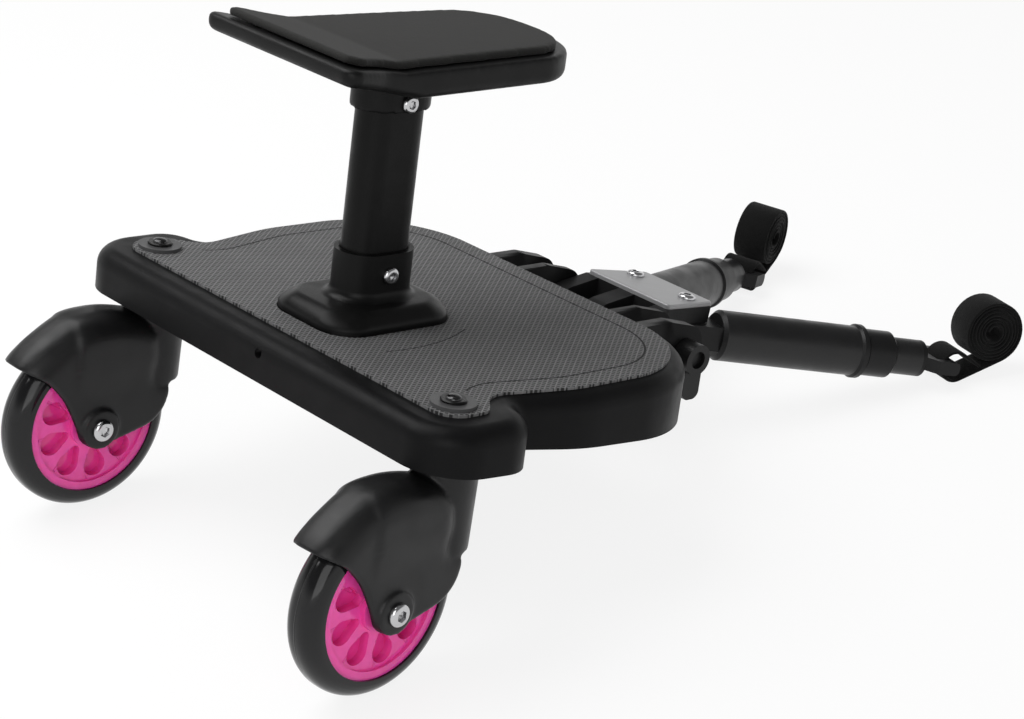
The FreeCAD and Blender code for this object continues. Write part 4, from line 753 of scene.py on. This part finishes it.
def strap_route(sizes, tail_steps=8, run_steps=10, round_steps=40):
    """Middle line of a strap in the arm's upright plane, tail first: loop, run and wound roll."""
    loop = Vector((sizes.loop_ahead, 0))
    roll = loop + Vector((sizes.roll_ahead, sizes.roll_above))
    reach = (roll - loop).length
    heading = math.atan2(sizes.roll_above, sizes.roll_ahead)
    heading -= math.asin((sizes.roll_radius - sizes.loop_radius) / reach)
    ahead = Vector((math.cos(heading), math.sin(heading)))
    right = Vector((math.sin(heading), -math.cos(heading)))
    pitch = sizes.strap_thick + sizes.strap_gap
    tail = loop + ahead * sizes.loop_mouth + right * (sizes.loop_radius - pitch)
    back = loop - tail
    lean = math.atan2(back.y, back.x) - math.asin(sizes.loop_radius / back.length)
    run = math.sqrt(back.length ** 2 - sizes.loop_radius ** 2)
    touch = tail + Vector((math.cos(lean), math.sin(lean))) * run
    route = [tail.lerp(touch, index / tail_steps) for index in range(tail_steps)]
    swing = (heading - lean) % (2 * math.pi)
    for index in range(round_steps + 1):
        route.append(on_round(loop, sizes.loop_radius, lean - math.pi / 2 + swing * index / round_steps))
    start = roll + right * sizes.roll_radius
    leave = route[-1]
    route += [leave.lerp(start, index / run_steps) for index in range(1, run_steps)]
    turns = (sizes.roll_radius - sizes.roll_core) / pitch
    for index in range(int(turns * round_steps) + 1):
        turn = index / round_steps
        angle = heading - math.pi / 2 + 2 * math.pi * turn
        route.append(on_round(roll, sizes.roll_radius - pitch * turn, angle))
    return route


def strap_mesh(name, sizes, matrix, drift_from=60, drift_step=0.043):
    """Band of webbing along its route, with soft edges and turns that don't quite line up; and its length."""
    route = strap_route(sizes)
    half = STRAP_SHARE * sizes.strap_wide / 2
    thick = sizes.strap_thick / 2
    section = [*STRAP_SECTION, *((-across, -up) for across, up in STRAP_SECTION)]
    build = bmesh.new()
    rings = []
    for index, point in enumerate(route):
        ahead = (route[min(index + 1, len(route) - 1)] - route[max(index - 1, 0)]).normalized()
        normal = Vector((ahead.y, -ahead.x))
        drift = sizes.strap_drift * math.sin(index * drift_step) if index > drift_from else 0.0
        ring = []
        for across, up in section:
            out = point + normal * (up * thick)
            ring.append(build.verts.new(matrix @ Vector((across * half + drift, out.x, out.y))))
        rings.append(ring)
    for ring, following in zip(rings, rings[1:]):
        join_rings(build, ring, following)
    build.faces.new(rings[0])
    build.faces.new(rings[-1])
    return closed_mesh(name, build, sharp=60), sum((b - a).length for a, b in zip(route, route[1:]))


def curve_through(points, step):
    """Smooth open curve through points of a plane."""
    places = [Vector(point) for point in points]
    ends = [2 * places[0] - places[1], *places, 2 * places[-1] - places[-2]]
    curve = []
    for before, start, end, after in zip(ends, ends[1:], ends[2:], ends[3:]):
        leave = (end - before) / 2
        arrive = (after - start) / 2
        count = math.ceil((end - start).length / step)
        for index in range(count):
            share = index / count
            curve.append(start + leave * share + (3 * (end - start) - 2 * leave - arrive) * share ** 2
                         + (2 * (start - end) + leave + arrive) * share ** 3)
    return curve + [places[-1]]


def ease(value, low, high):
    """Share from 0 to 1, eased in and out between two values."""
    share = min(max((value - low) / (high - low), 0.0), 1.0)
    return share * share * (3 - 2 * share)


def nearness(points):
    """Tree that finds the nearest of some points of a plane."""
    tree = kdtree.KDTree(len(points))
    for index, point in enumerate(points):
        tree.insert((*point, 0), index)
    tree.balance()
    return tree


def fork_block(build, sizes, rings=22, step=0.0018):
    """Mudguard and cheeks of a fork in one pillow-shaped block, with the wheel's room still filled."""
    arc = curve_through(FORK_ARC, step)
    edge = curve_through(FORK_EDGE, step)
    rounds = ((nearness(arc), sizes.fork_arch), (nearness(edge), sizes.fork_edge))
    rim = arc[:-1] + edge[:-1]

    def half_width(place):
        crease = ease(place.x, -sizes.crease_back, sizes.crease_wide - sizes.crease_back)
        crease *= ease(place.y, sizes.crease_low, sizes.crease_high)
        wall = sizes.fork_wall + sizes.fork_cheek * crease
        narrowest = wall
        for tree, radius in rounds:
            short = max(0.0, radius - tree.find((*place, 0))[2])
            narrowest = min(narrowest, wall - radius + math.sqrt(radius ** 2 - short ** 2))
        return narrowest

    middle = Vector(FORK_MIDDLE)
    last = []
    for side in (-1, 1):
        before = [build.verts.new((side * half_width(middle), *middle))]
        for ring in range(1, rings + 1):
            out = 1 - (1 - ring / rings) ** 2
            places = [middle.lerp(point, out) for point in rim]
            following = [build.verts.new((side * half_width(place), *place)) for place in places]
            join_rings(build, before, following)
            before = following
        last.append(before)
    join_rings(build, *last)


def round_bar(build, low, high, low_radius, high_radius, matrix, steps=64):
    """Closed round bar along the frame's Z, from one height and radius to another."""
    ends = []
    for height, radius in ((low, low_radius), (high, high_radius)):
        ring = []
        for index in range(steps):
            angle = 2 * math.pi * index / steps
            place = Vector((radius * math.cos(angle), radius * math.sin(angle), height))
            ring.append(build.verts.new(matrix @ place))
        ends.append(ring)
    join_rings(build, *ends)
    for ring in ends:
        build.faces.new(ring)


def remade(mesh, voxel, smoothing, cutters=()):
    """Mesh remade at an even fineness, smoothed, and cut by other meshes."""
    helper = bpy.data.objects.new(mesh.name + "_form", mesh)
    helpers = [helper]
    remesh = helper.modifiers.new("even", "REMESH")
    remesh.mode = "VOXEL"
    remesh.voxel_size = voxel
    soften = helper.modifiers.new("soften", "SMOOTH")
    soften.factor = 0.5
    soften.iterations = smoothing
    for cutter in cutters:
        helpers.append(bpy.data.objects.new(cutter.name + "_form", cutter))
        cut = helper.modifiers.new("cut", "BOOLEAN")
        cut.operation = "DIFFERENCE"
        cut.solver = "EXACT"
        cut.object = helpers[-1]
    for each in helpers:
        bpy.context.scene.collection.objects.link(each)
    bpy.context.view_layer.update()
    shaped = bpy.data.meshes.new_from_object(helper.evaluated_get(bpy.context.evaluated_depsgraph_get()))
    for each in helpers:
        bpy.data.objects.remove(each)
    for face in shaped.polygons:
        face.use_smooth = True
    shaped.materials.clear()
    return shaped


def fork_mesh(name, sizes, side):
    """Fork and mudguard in one soft moulding, cut for the wheel, its axle, the kingpin and its nut."""
    axle = lengthwise(Matrix())
    trail = (wheel_frame(side).inverted() @ Vector(JOINTS["swivel_" + side]["pos_m"])).y
    king = Matrix.Translation((0, trail, 0))
    build = bmesh.new()
    fork_block(build, sizes)
    round_bar(build, sizes.stem_low, sizes.stem_top, sizes.stem_foot, sizes.stem_radius, king)
    round_bar(build, -sizes.axle_face, sizes.axle_face, sizes.boss_radius, sizes.boss_radius, axle)
    cuts = [
        (-sizes.room_half, sizes.room_half, sizes.room_radius, axle),
        (-2 * sizes.axle_face, 2 * sizes.axle_face, sizes.axle_radius + sizes.bore_gap, axle),
        (0, 2 * sizes.stem_top, sizes.king_radius + sizes.bore_gap, king),
        (0, sizes.nut_top, sizes.nut_bore, king),
    ]
    cutters = []
    for low, high, radius, matrix in cuts:
        cutter = bmesh.new()
        round_bar(cutter, low, high, radius, radius, matrix, steps=128)
        cutters.append(closed_mesh(name + "_cut", cutter))
    mesh = remade(closed_mesh(name, build), sizes.fork_voxel, smoothing=6, cutters=cutters)
    mesh.transform(wheel_frame(side))
    mesh.set_sharp_from_angle(angle=math.radians(40))
    mesh.name = name
    return mesh


def reshaped(node_name, matrix, change):
    """Copy of a node's mesh whose points are moved in a frame of the object."""
    build = welded(node_name)
    inverse = matrix.inverted()
    for vertex in build.verts:
        vertex.co = matrix @ change(inverse @ vertex.co)
    for face in build.faces:
        face.smooth = True
    return closed_mesh(node_name + "_shaped", build, SHARP)


def seat_place(place, sizes):
    """Point of the seat's pan with the nose drawn back and the underside drawn up."""
    front = ease(place.y, sizes.seat_waist, sizes.seat_nose)
    low = min(max((sizes.seat_lip - place.z) / (sizes.seat_lip - sizes.seat_under), 0.0), 1.0)
    if place.z < sizes.seat_under:
        low = max((place.z - sizes.seat_foot) / (sizes.seat_under - sizes.seat_foot), 0.0)
    return place + Vector((0, -sizes.nose_back * front, sizes.seat_thin * low))


def pad_place(place, sizes):
    """Point of the pad that follows the pan's nose and reaches over its rear lip."""
    front = ease(place.y, sizes.seat_waist, sizes.seat_nose)
    rear = ease(-place.y, -sizes.pad_rear, sizes.pad_rear)
    return place + Vector((0, -sizes.nose_back * front - sizes.pad_back * rear, sizes.pad_lift * rear))


def flange_place(place, sizes, round_share=0.42, power=8):
    """Point of the socket with the upper corners of its flange drawn in towards an oval."""
    ahead = (place.y - sizes.flange_ahead) / sizes.flange_long
    beside = place.x / sizes.flange_wide
    out = math.hypot(ahead, beside)
    if out == 0:
        return place
    squared = (ahead ** power + beside ** power) ** (1 / power)
    share = round_share * ease(out, low=0.5, high=0.9) * ease(place.z, sizes.flange_foot, sizes.flange_top)
    share *= 1 - ease(place.z, sizes.flange_top, sizes.neck_foot)
    keep = 1 - share * (1 - squared / out)
    return Vector((place.x * keep, sizes.flange_ahead + (place.y - sizes.flange_ahead) * keep, place.z))


def pad_mesh(name, sizes, matrix, facing=0.3):
    """Foam pad: the frame's pad with soft edges and a slightly crowned top."""
    plain = reshaped("seat_pad", matrix, lambda place: pad_place(place, sizes))
    shaped = remade(plain, sizes.pad_voxel, smoothing=4)
    inverse = matrix.inverted()
    places = [inverse @ vertex.co for vertex in shaped.vertices]
    low, high = (Vector(map(pick, zip(*places))) for pick in (min, max))
    middle = (low + high) / 2
    reach = (high - low) / 2
    up = matrix.to_3x3() @ UP
    for vertex, place in zip(shaped.vertices, places):
        along = (place.y - middle.y) / reach.y
        beside = (place.x - middle.x) / reach.x
        if vertex.normal.dot(up) > facing:
            vertex.co += up * (sizes.pad_crown * max(0.0, 1 - along ** 2) * max(0.0, 1 - beside ** 2))
    shaped.name = name
    return shaped


def kingpin_profile(sizes):
    """Profile of a kingpin with a black collar under its dome."""
    seat = sizes.king_seat
    rim = seat + sizes.king_collar_rise
    dome = arc_steps(sizes.king_dome, rim, 0, sizes.king_dome_rise - sizes.king_collar_rise, count=9)
    return [(0, -sizes.king_tail, False), (sizes.king_radius, -sizes.king_tail, False),
            (sizes.king_radius, seat, False), (sizes.king_collar, seat, False),
            (sizes.king_collar, rim - sizes.king_collar_rise / 3, False),
            (sizes.king_collar * 0.93, rim, False), *dome[:-1], (0, seat + sizes.king_dome_rise, False)]


# Operators, one for each group of pieces

class BOARD_OT_deck(bpy.types.Operator):
    """Trim and finish the deck and draw the lines of its grip mat"""
    bl_idname = "board.deck"
    bl_label = "Deck and mat"

    def execute(self, context):
        sizes, colours = context.scene.board_sizes, context.scene.board_colours
        matrix = deck_frame()
        shell = new_piece("deck_moulding", trimmed_shell("deck_moulding", sizes.rib_end ** 2),
                          [moulded_plastic("deck_plastic", colours.deck, shine=0.08)], "deck")
        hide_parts("deck_shell")
        paint("deck_mat", grip_mat(sizes, colours, matrix))
        paint("socket_screws", polished_metal("screw_steel", colours.steel, rough=0.3))
        dark = plain_plastic("mat_line", colours.tyre, rough=0.8, depth=0.0002)
        border = border_points(sizes, matrix)
        flat = drawn_line("mat_border", border, sizes.line_wide, matrix)
        line = new_piece("mat_border", flat, [dark], "deck")
        flat = drawn_line("mat_crease", bend_points(sizes, border[0].z), sizes.bend_wide, matrix)
        crease = new_piece("mat_crease", flat, [dark], "deck")
        return {"FINISHED"}


class BOARD_OT_seat(bpy.types.Operator):
    """Shape and finish the seat and its socket, finish the post and lay the foam pad"""
    bl_idname = "board.seat"
    bl_label = "Seat and post"

    def execute(self, context):
        sizes, colours = context.scene.board_sizes, context.scene.board_colours
        matrix = deck_frame()
        plain = reshaped("seat_shell", matrix, lambda place: seat_place(place, sizes))
        pan = remade(plain, sizes.seat_voxel, smoothing=8)
        pan.set_sharp_from_angle(angle=math.radians(50))
        finish = moulded_plastic("seat_plastic", colours.seat, shine=0.14)
        shell = new_piece("seat_moulding", pan, [finish], "deck")
        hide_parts("seat_shell")
        foot = reshaped("seat_socket", matrix, lambda place: flange_place(place, sizes))
        finish = moulded_plastic("socket_plastic", colours.post, rough=(0.30, 0.40), shine=0.13)
        socket = new_piece("socket_moulding", foot, [finish], "deck")
        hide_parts("seat_socket")
        paint("seat_post", lacquered_tube("post_lacquer", colours.post, shine=0.12))
        foam = foam_rubber("foam", colours.pad)
        pad = new_piece("foam_pad", pad_mesh("foam_pad", sizes, matrix), [foam], "deck")
        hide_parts("seat_pad")
        return {"FINISHED"}


class BOARD_OT_screws(bpy.types.Operator):
    """Make the socket-head bolts and finish the nuts"""
    bl_idname = "board.screws"
    bl_label = "Screws"

    def execute(self, context):
        sizes, colours = context.scene.board_sizes, context.scene.board_colours
        chrome = polished_metal("bolt_chrome", colours.chrome, rough=0.14)
        steel = polished_metal("nut_steel", colours.steel, rough=0.32)
        for name in ("post_nut", "seat_nut", "hinge_rod", "hinge_nut", "pivot_nuts"):
            paint(name, steel)
        for name in ("post_bolt", "seat_bolt"):
            low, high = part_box(name)
            middle = (low + high) / 2
            seat = high.x - sizes.cross_head_rise
            matrix = lengthwise(Matrix.Translation((seat, middle.y, middle.z)))
            profile = socket_bolt(sizes.cross_head, sizes.cross_head_rise, sizes.cross_radius, seat - low.x)
            bolt = new_piece(name + "_dressed", turned_mesh(name, profile, matrix), [chrome], "deck")
            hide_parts(name)
        screws = []
        for side in SIDES:
            matrix = lengthwise(wheel_frame(side)) @ Matrix.Translation((0, 0, sizes.axle_face))
            profile = socket_bolt(sizes.axle_head, sizes.axle_head_rise, sizes.axle_radius,
                                  2 * sizes.axle_face + sizes.axle_tail)
            name = "axle_bolt_" + side
            mesh = turned_mesh(name, profile, matrix)
            bolt = new_piece(name + "_dressed", mesh, [chrome], "caster_" + side)
            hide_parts(name)
            for plain in ("axle_nut_", "kingpin_nut_", "bearing_sleeve_", "axle_spacers_"):
                paint(plain + side, steel)
            seat = arm_frame(side) @ Matrix.Translation((0, 0, sizes.pivot_seat))
            profile = socket_bolt(sizes.pivot_head, sizes.pivot_head_rise, sizes.pivot_radius,
                                  sizes.pivot_seat + sizes.pivot_tail)
            name = "pivot_screw_" + side
            screws.append(new_piece(name, turned_mesh(name, profile, seat), [chrome], "coupler"))
        for screw in screws:
            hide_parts("pivot_screws")
        return {"FINISHED"}


class BOARD_OT_swivels(bpy.types.Operator):
    """Make the kingpins and the forks and finish the swivels' discs and bushes"""
    bl_idname = "board.swivels"
    bl_label = "Swivels and forks"

    def execute(self, context):
        sizes, colours = context.scene.board_sizes, context.scene.board_colours
        bright = polished_metal("kingpin_bright", shaded(colours.chrome, 0.12), rough=0.24)
        black = moulded_plastic("kingpin_collar", colours.post, rough=(0.25, 0.35))
        disc = moulded_plastic("swivel_disc", colours.washer, rough=(0.3, 0.4))
        fork = moulded_plastic("fork_plastic", colours.fork, rough=(0.34, 0.46), shine=0.3)
        bush = plain_plastic("bush_plastic", colours.bush, rough=0.5, depth=0.0001)
        profile = kingpin_profile(sizes)
        for side in SIDES:
            name = "kingpin_" + side
            mesh = turned_mesh(name, profile, swivel_frame(side), second=KINGPIN_COLLAR)
            pin = new_piece(name + "_dressed", mesh, [bright, black], "caster_" + side)
            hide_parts(name)
            paint("swivel_washer_" + side, disc)
            paint("swivel_bush_" + side, bush)
            name = "caster_fork_" + side
            moulding = new_piece(name + "_dressed", fork_mesh(name, sizes, side), [fork], "caster_" + side)
            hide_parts(name)
        return {"FINISHED"}


class BOARD_OT_wheels(bpy.types.Operator):
    """Finish the wheels"""
    bl_idname = "board.wheels"
    bl_label = "Wheels"

    def execute(self, context):
        sizes, colours = context.scene.board_sizes, context.scene.board_colours
        bearing = polished_metal("bearing_dark", shaded(colours.steel, 0.12), rough=0.35)
        for side in SIDES:
            matrix = wheel_frame(side)
            paint("wheel_tyre_" + side, shiny_tyre("tyre_" + side, colours.tyre, matrix))
            paint("wheel_core_" + side, clear_hub(sizes, colours, matrix))
            paint("wheel_bearings_" + side, bearing)
        return {"FINISHED"}


class BOARD_OT_coupler(bpy.types.Operator):
    """Finish the coupler, its plate and the knob"""
    bl_idname = "board.coupler"
    bl_label = "Coupler and knob"

    def execute(self, context):
        colours = context.scene.board_colours
        paint("coupler_body", moulded_plastic("coupler_plastic", colours.coupler, shine=0.12))
        paint("coupler_plate", brushed_plate("coupler_top", colours.plate, arm_frame("right")))
        paint("hinge_knob", moulded_plastic("knob_plastic", colours.collar, rough=(0.3, 0.4)))
        return {"FINISHED"}


class BOARD_OT_arms(bpy.types.Operator):
    """Finish the telescopic arms"""
    bl_idname = "board.arms"
    bl_label = "Arms"

    def execute(self, context):
        colours = context.scene.board_colours
        tube = lacquered_tube("arm_lacquer", colours.arm)
        ring = moulded_plastic("arm_ring", colours.collar, rough=(0.28, 0.38))
        black = moulded_plastic("arm_plastic", colours.arm)
        finishes = {"knuckle": black, "tube": tube, "collar": ring, "sleeve": ring, "slider": tube,
                    "eye": black}
        for side in SIDES:
            for part, finish in finishes.items():
                paint("arm_%s_%s" % (part, side), finish)
        return {"FINISHED"}


class BOARD_OT_straps(bpy.types.Operator):
    """Wind the two straps"""
    bl_idname = "board.straps"
    bl_label = "Straps"

    def execute(self, context):
        sizes, colours = context.scene.board_sizes, context.scene.board_colours
        cloth = loop_cloth("loop_cloth", colours.strap)
        for side in SIDES:
            name = "strap_%s_wound" % side
            mesh, long = strap_mesh(name, sizes, arm_frame(side))
            strap = new_piece(name, mesh, [cloth], "slider_" + side)
            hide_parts("strap_" + side)
        return {"FINISHED"}


class BOARD_OT_stage(bpy.types.Operator):
    """Set the floor, the lights and the camera"""
    bl_idname = "board.stage"
    bl_label = "Stage"

    def execute(self, context):
        scene = context.scene
        view = scene.board_camera
        scene.view_settings.view_transform = "Standard"
        self.lay_floor(scene.board_colours)
        self.light_world(scene)
        for name, lamp in LAMPS.items():
            self.hang_lamp(name, **lamp)
        lens = bpy.data.cameras.new("camera")
        lens.sensor_fit = "HORIZONTAL"
        lens.lens = lens.sensor_width * view.focal / IMAGE_WIDE
        lens.clip_start = 0.05
        camera = bpy.data.objects.new("camera", lens)
        camera.location = view.place
        camera.rotation_euler = (math.pi / 2 - view.dip, 0, view.bearing)
        scene.collection.objects.link(camera)
        scene.camera = camera
        return {"FINISHED"}

    def lay_floor(self, colours):
        """Pale floor that shows white to the camera and still takes the object's shadow."""
        material, shader = new_finish("floor", colours.floor, roughness=0.9, Specular_IOR_Level=0.1)
        tree = material.node_tree
        rays = node(tree, "LightPath").outputs
        seen = maths(tree, "MAXIMUM", rays["Is Camera Ray"], rays["Is Glossy Ray"])
        seen = maths(tree, "MAXIMUM", seen, rays["Is Transmission Ray"])
        glow = node(tree, "Emission", {"Color": (1, 1, 1, 1), "Strength": 1.0})
        share = maths(tree, "MULTIPLY", seen, FLOOR_GLOW)
        mix = node(tree, "MixShader", {0: share, 1: shader.outputs[0], 2: glow.outputs[0]})
        tree.links.new(mix.outputs[0], tree.nodes["Material Output"].inputs["Surface"])
        build = bmesh.new()
        bmesh.ops.create_grid(build, x_segments=8, y_segments=8, size=FLOOR_HALF)
        mesh = bpy.data.meshes.new("floor")
        build.to_mesh(mesh)
        build.free()
        mesh.materials.append(material)
        floor = bpy.data.objects.new("floor", mesh)
        bpy.context.scene.collection.objects.link(floor)

    def light_world(self, scene):
        """White backdrop round the horizon under a darker ceiling."""
        world = bpy.data.worlds.new("studio")
        scene.world = world
        world.use_nodes = True
        tree = world.node_tree
        height = parts_of(tree, node(tree, "TexCoord").outputs["Generated"])[2]
        strength = ramped(tree, height, low=0.15, high=0.45, to_low=1.0, to_high=0.2)
        tree.links.new(strength, tree.nodes["Background"].inputs["Strength"])
        tree.nodes["Background"].inputs["Color"].default_value = (1, 1, 1, 1)

    def hang_lamp(self, name, place, aim, size, power):
        """Square soft lamp that faces a point."""
        light = bpy.data.lights.new(name, "AREA")
        light.shape = "SQUARE"
        light.size = size
        light.energy = power
        lamp = bpy.data.objects.new(name, light)
        lamp.location = place
        lamp.rotation_euler = (Vector(aim) - Vector(place)).to_track_quat("-Z", "Y").to_euler()
        bpy.context.scene.collection.objects.link(lamp)


class BOARD_PT_panel(bpy.types.Panel):
    """Lists the steps that dress the board"""
    bl_idname = "BOARD_PT_panel"
    bl_label = "Buggy board"
    bl_space_type = "VIEW_3D"
    bl_region_type = "UI"
    bl_category = "Buggy board"

    def draw(self, context):
        for step in STEPS:
            self.layout.operator(step.bl_idname)
        for group in (context.scene.board_sizes, context.scene.board_colours, context.scene.board_camera):
            box = self.layout.box()
            for name in group.__annotations__:
                box.prop(group, name)


GROUPS = {"board_sizes": BoardSizes, "board_colours": BoardColours, "board_camera": BoardCamera}
STEPS = (BOARD_OT_stage, BOARD_OT_deck, BOARD_OT_seat, BOARD_OT_screws, BOARD_OT_swivels, BOARD_OT_wheels,
         BOARD_OT_coupler, BOARD_OT_arms, BOARD_OT_straps)
CLASSES = (*GROUPS.values(), *STEPS, BOARD_PT_panel)


def register():
    for part in CLASSES:
        bpy.utils.register_class(part)
    for name, group in GROUPS.items():
        setattr(bpy.types.Scene, name, PointerProperty(type=group))


def unregister():
    for name in GROUPS:
        delattr(bpy.types.Scene, name)
    for part in reversed(CLASSES):
        bpy.utils.unregister_class(part)


def main():
    register()
    for step in STEPS:
        group, name = step.bl_idname.split(".")
        getattr(getattr(bpy.ops, group), name)()


if __name__ == "__main__":
    main()
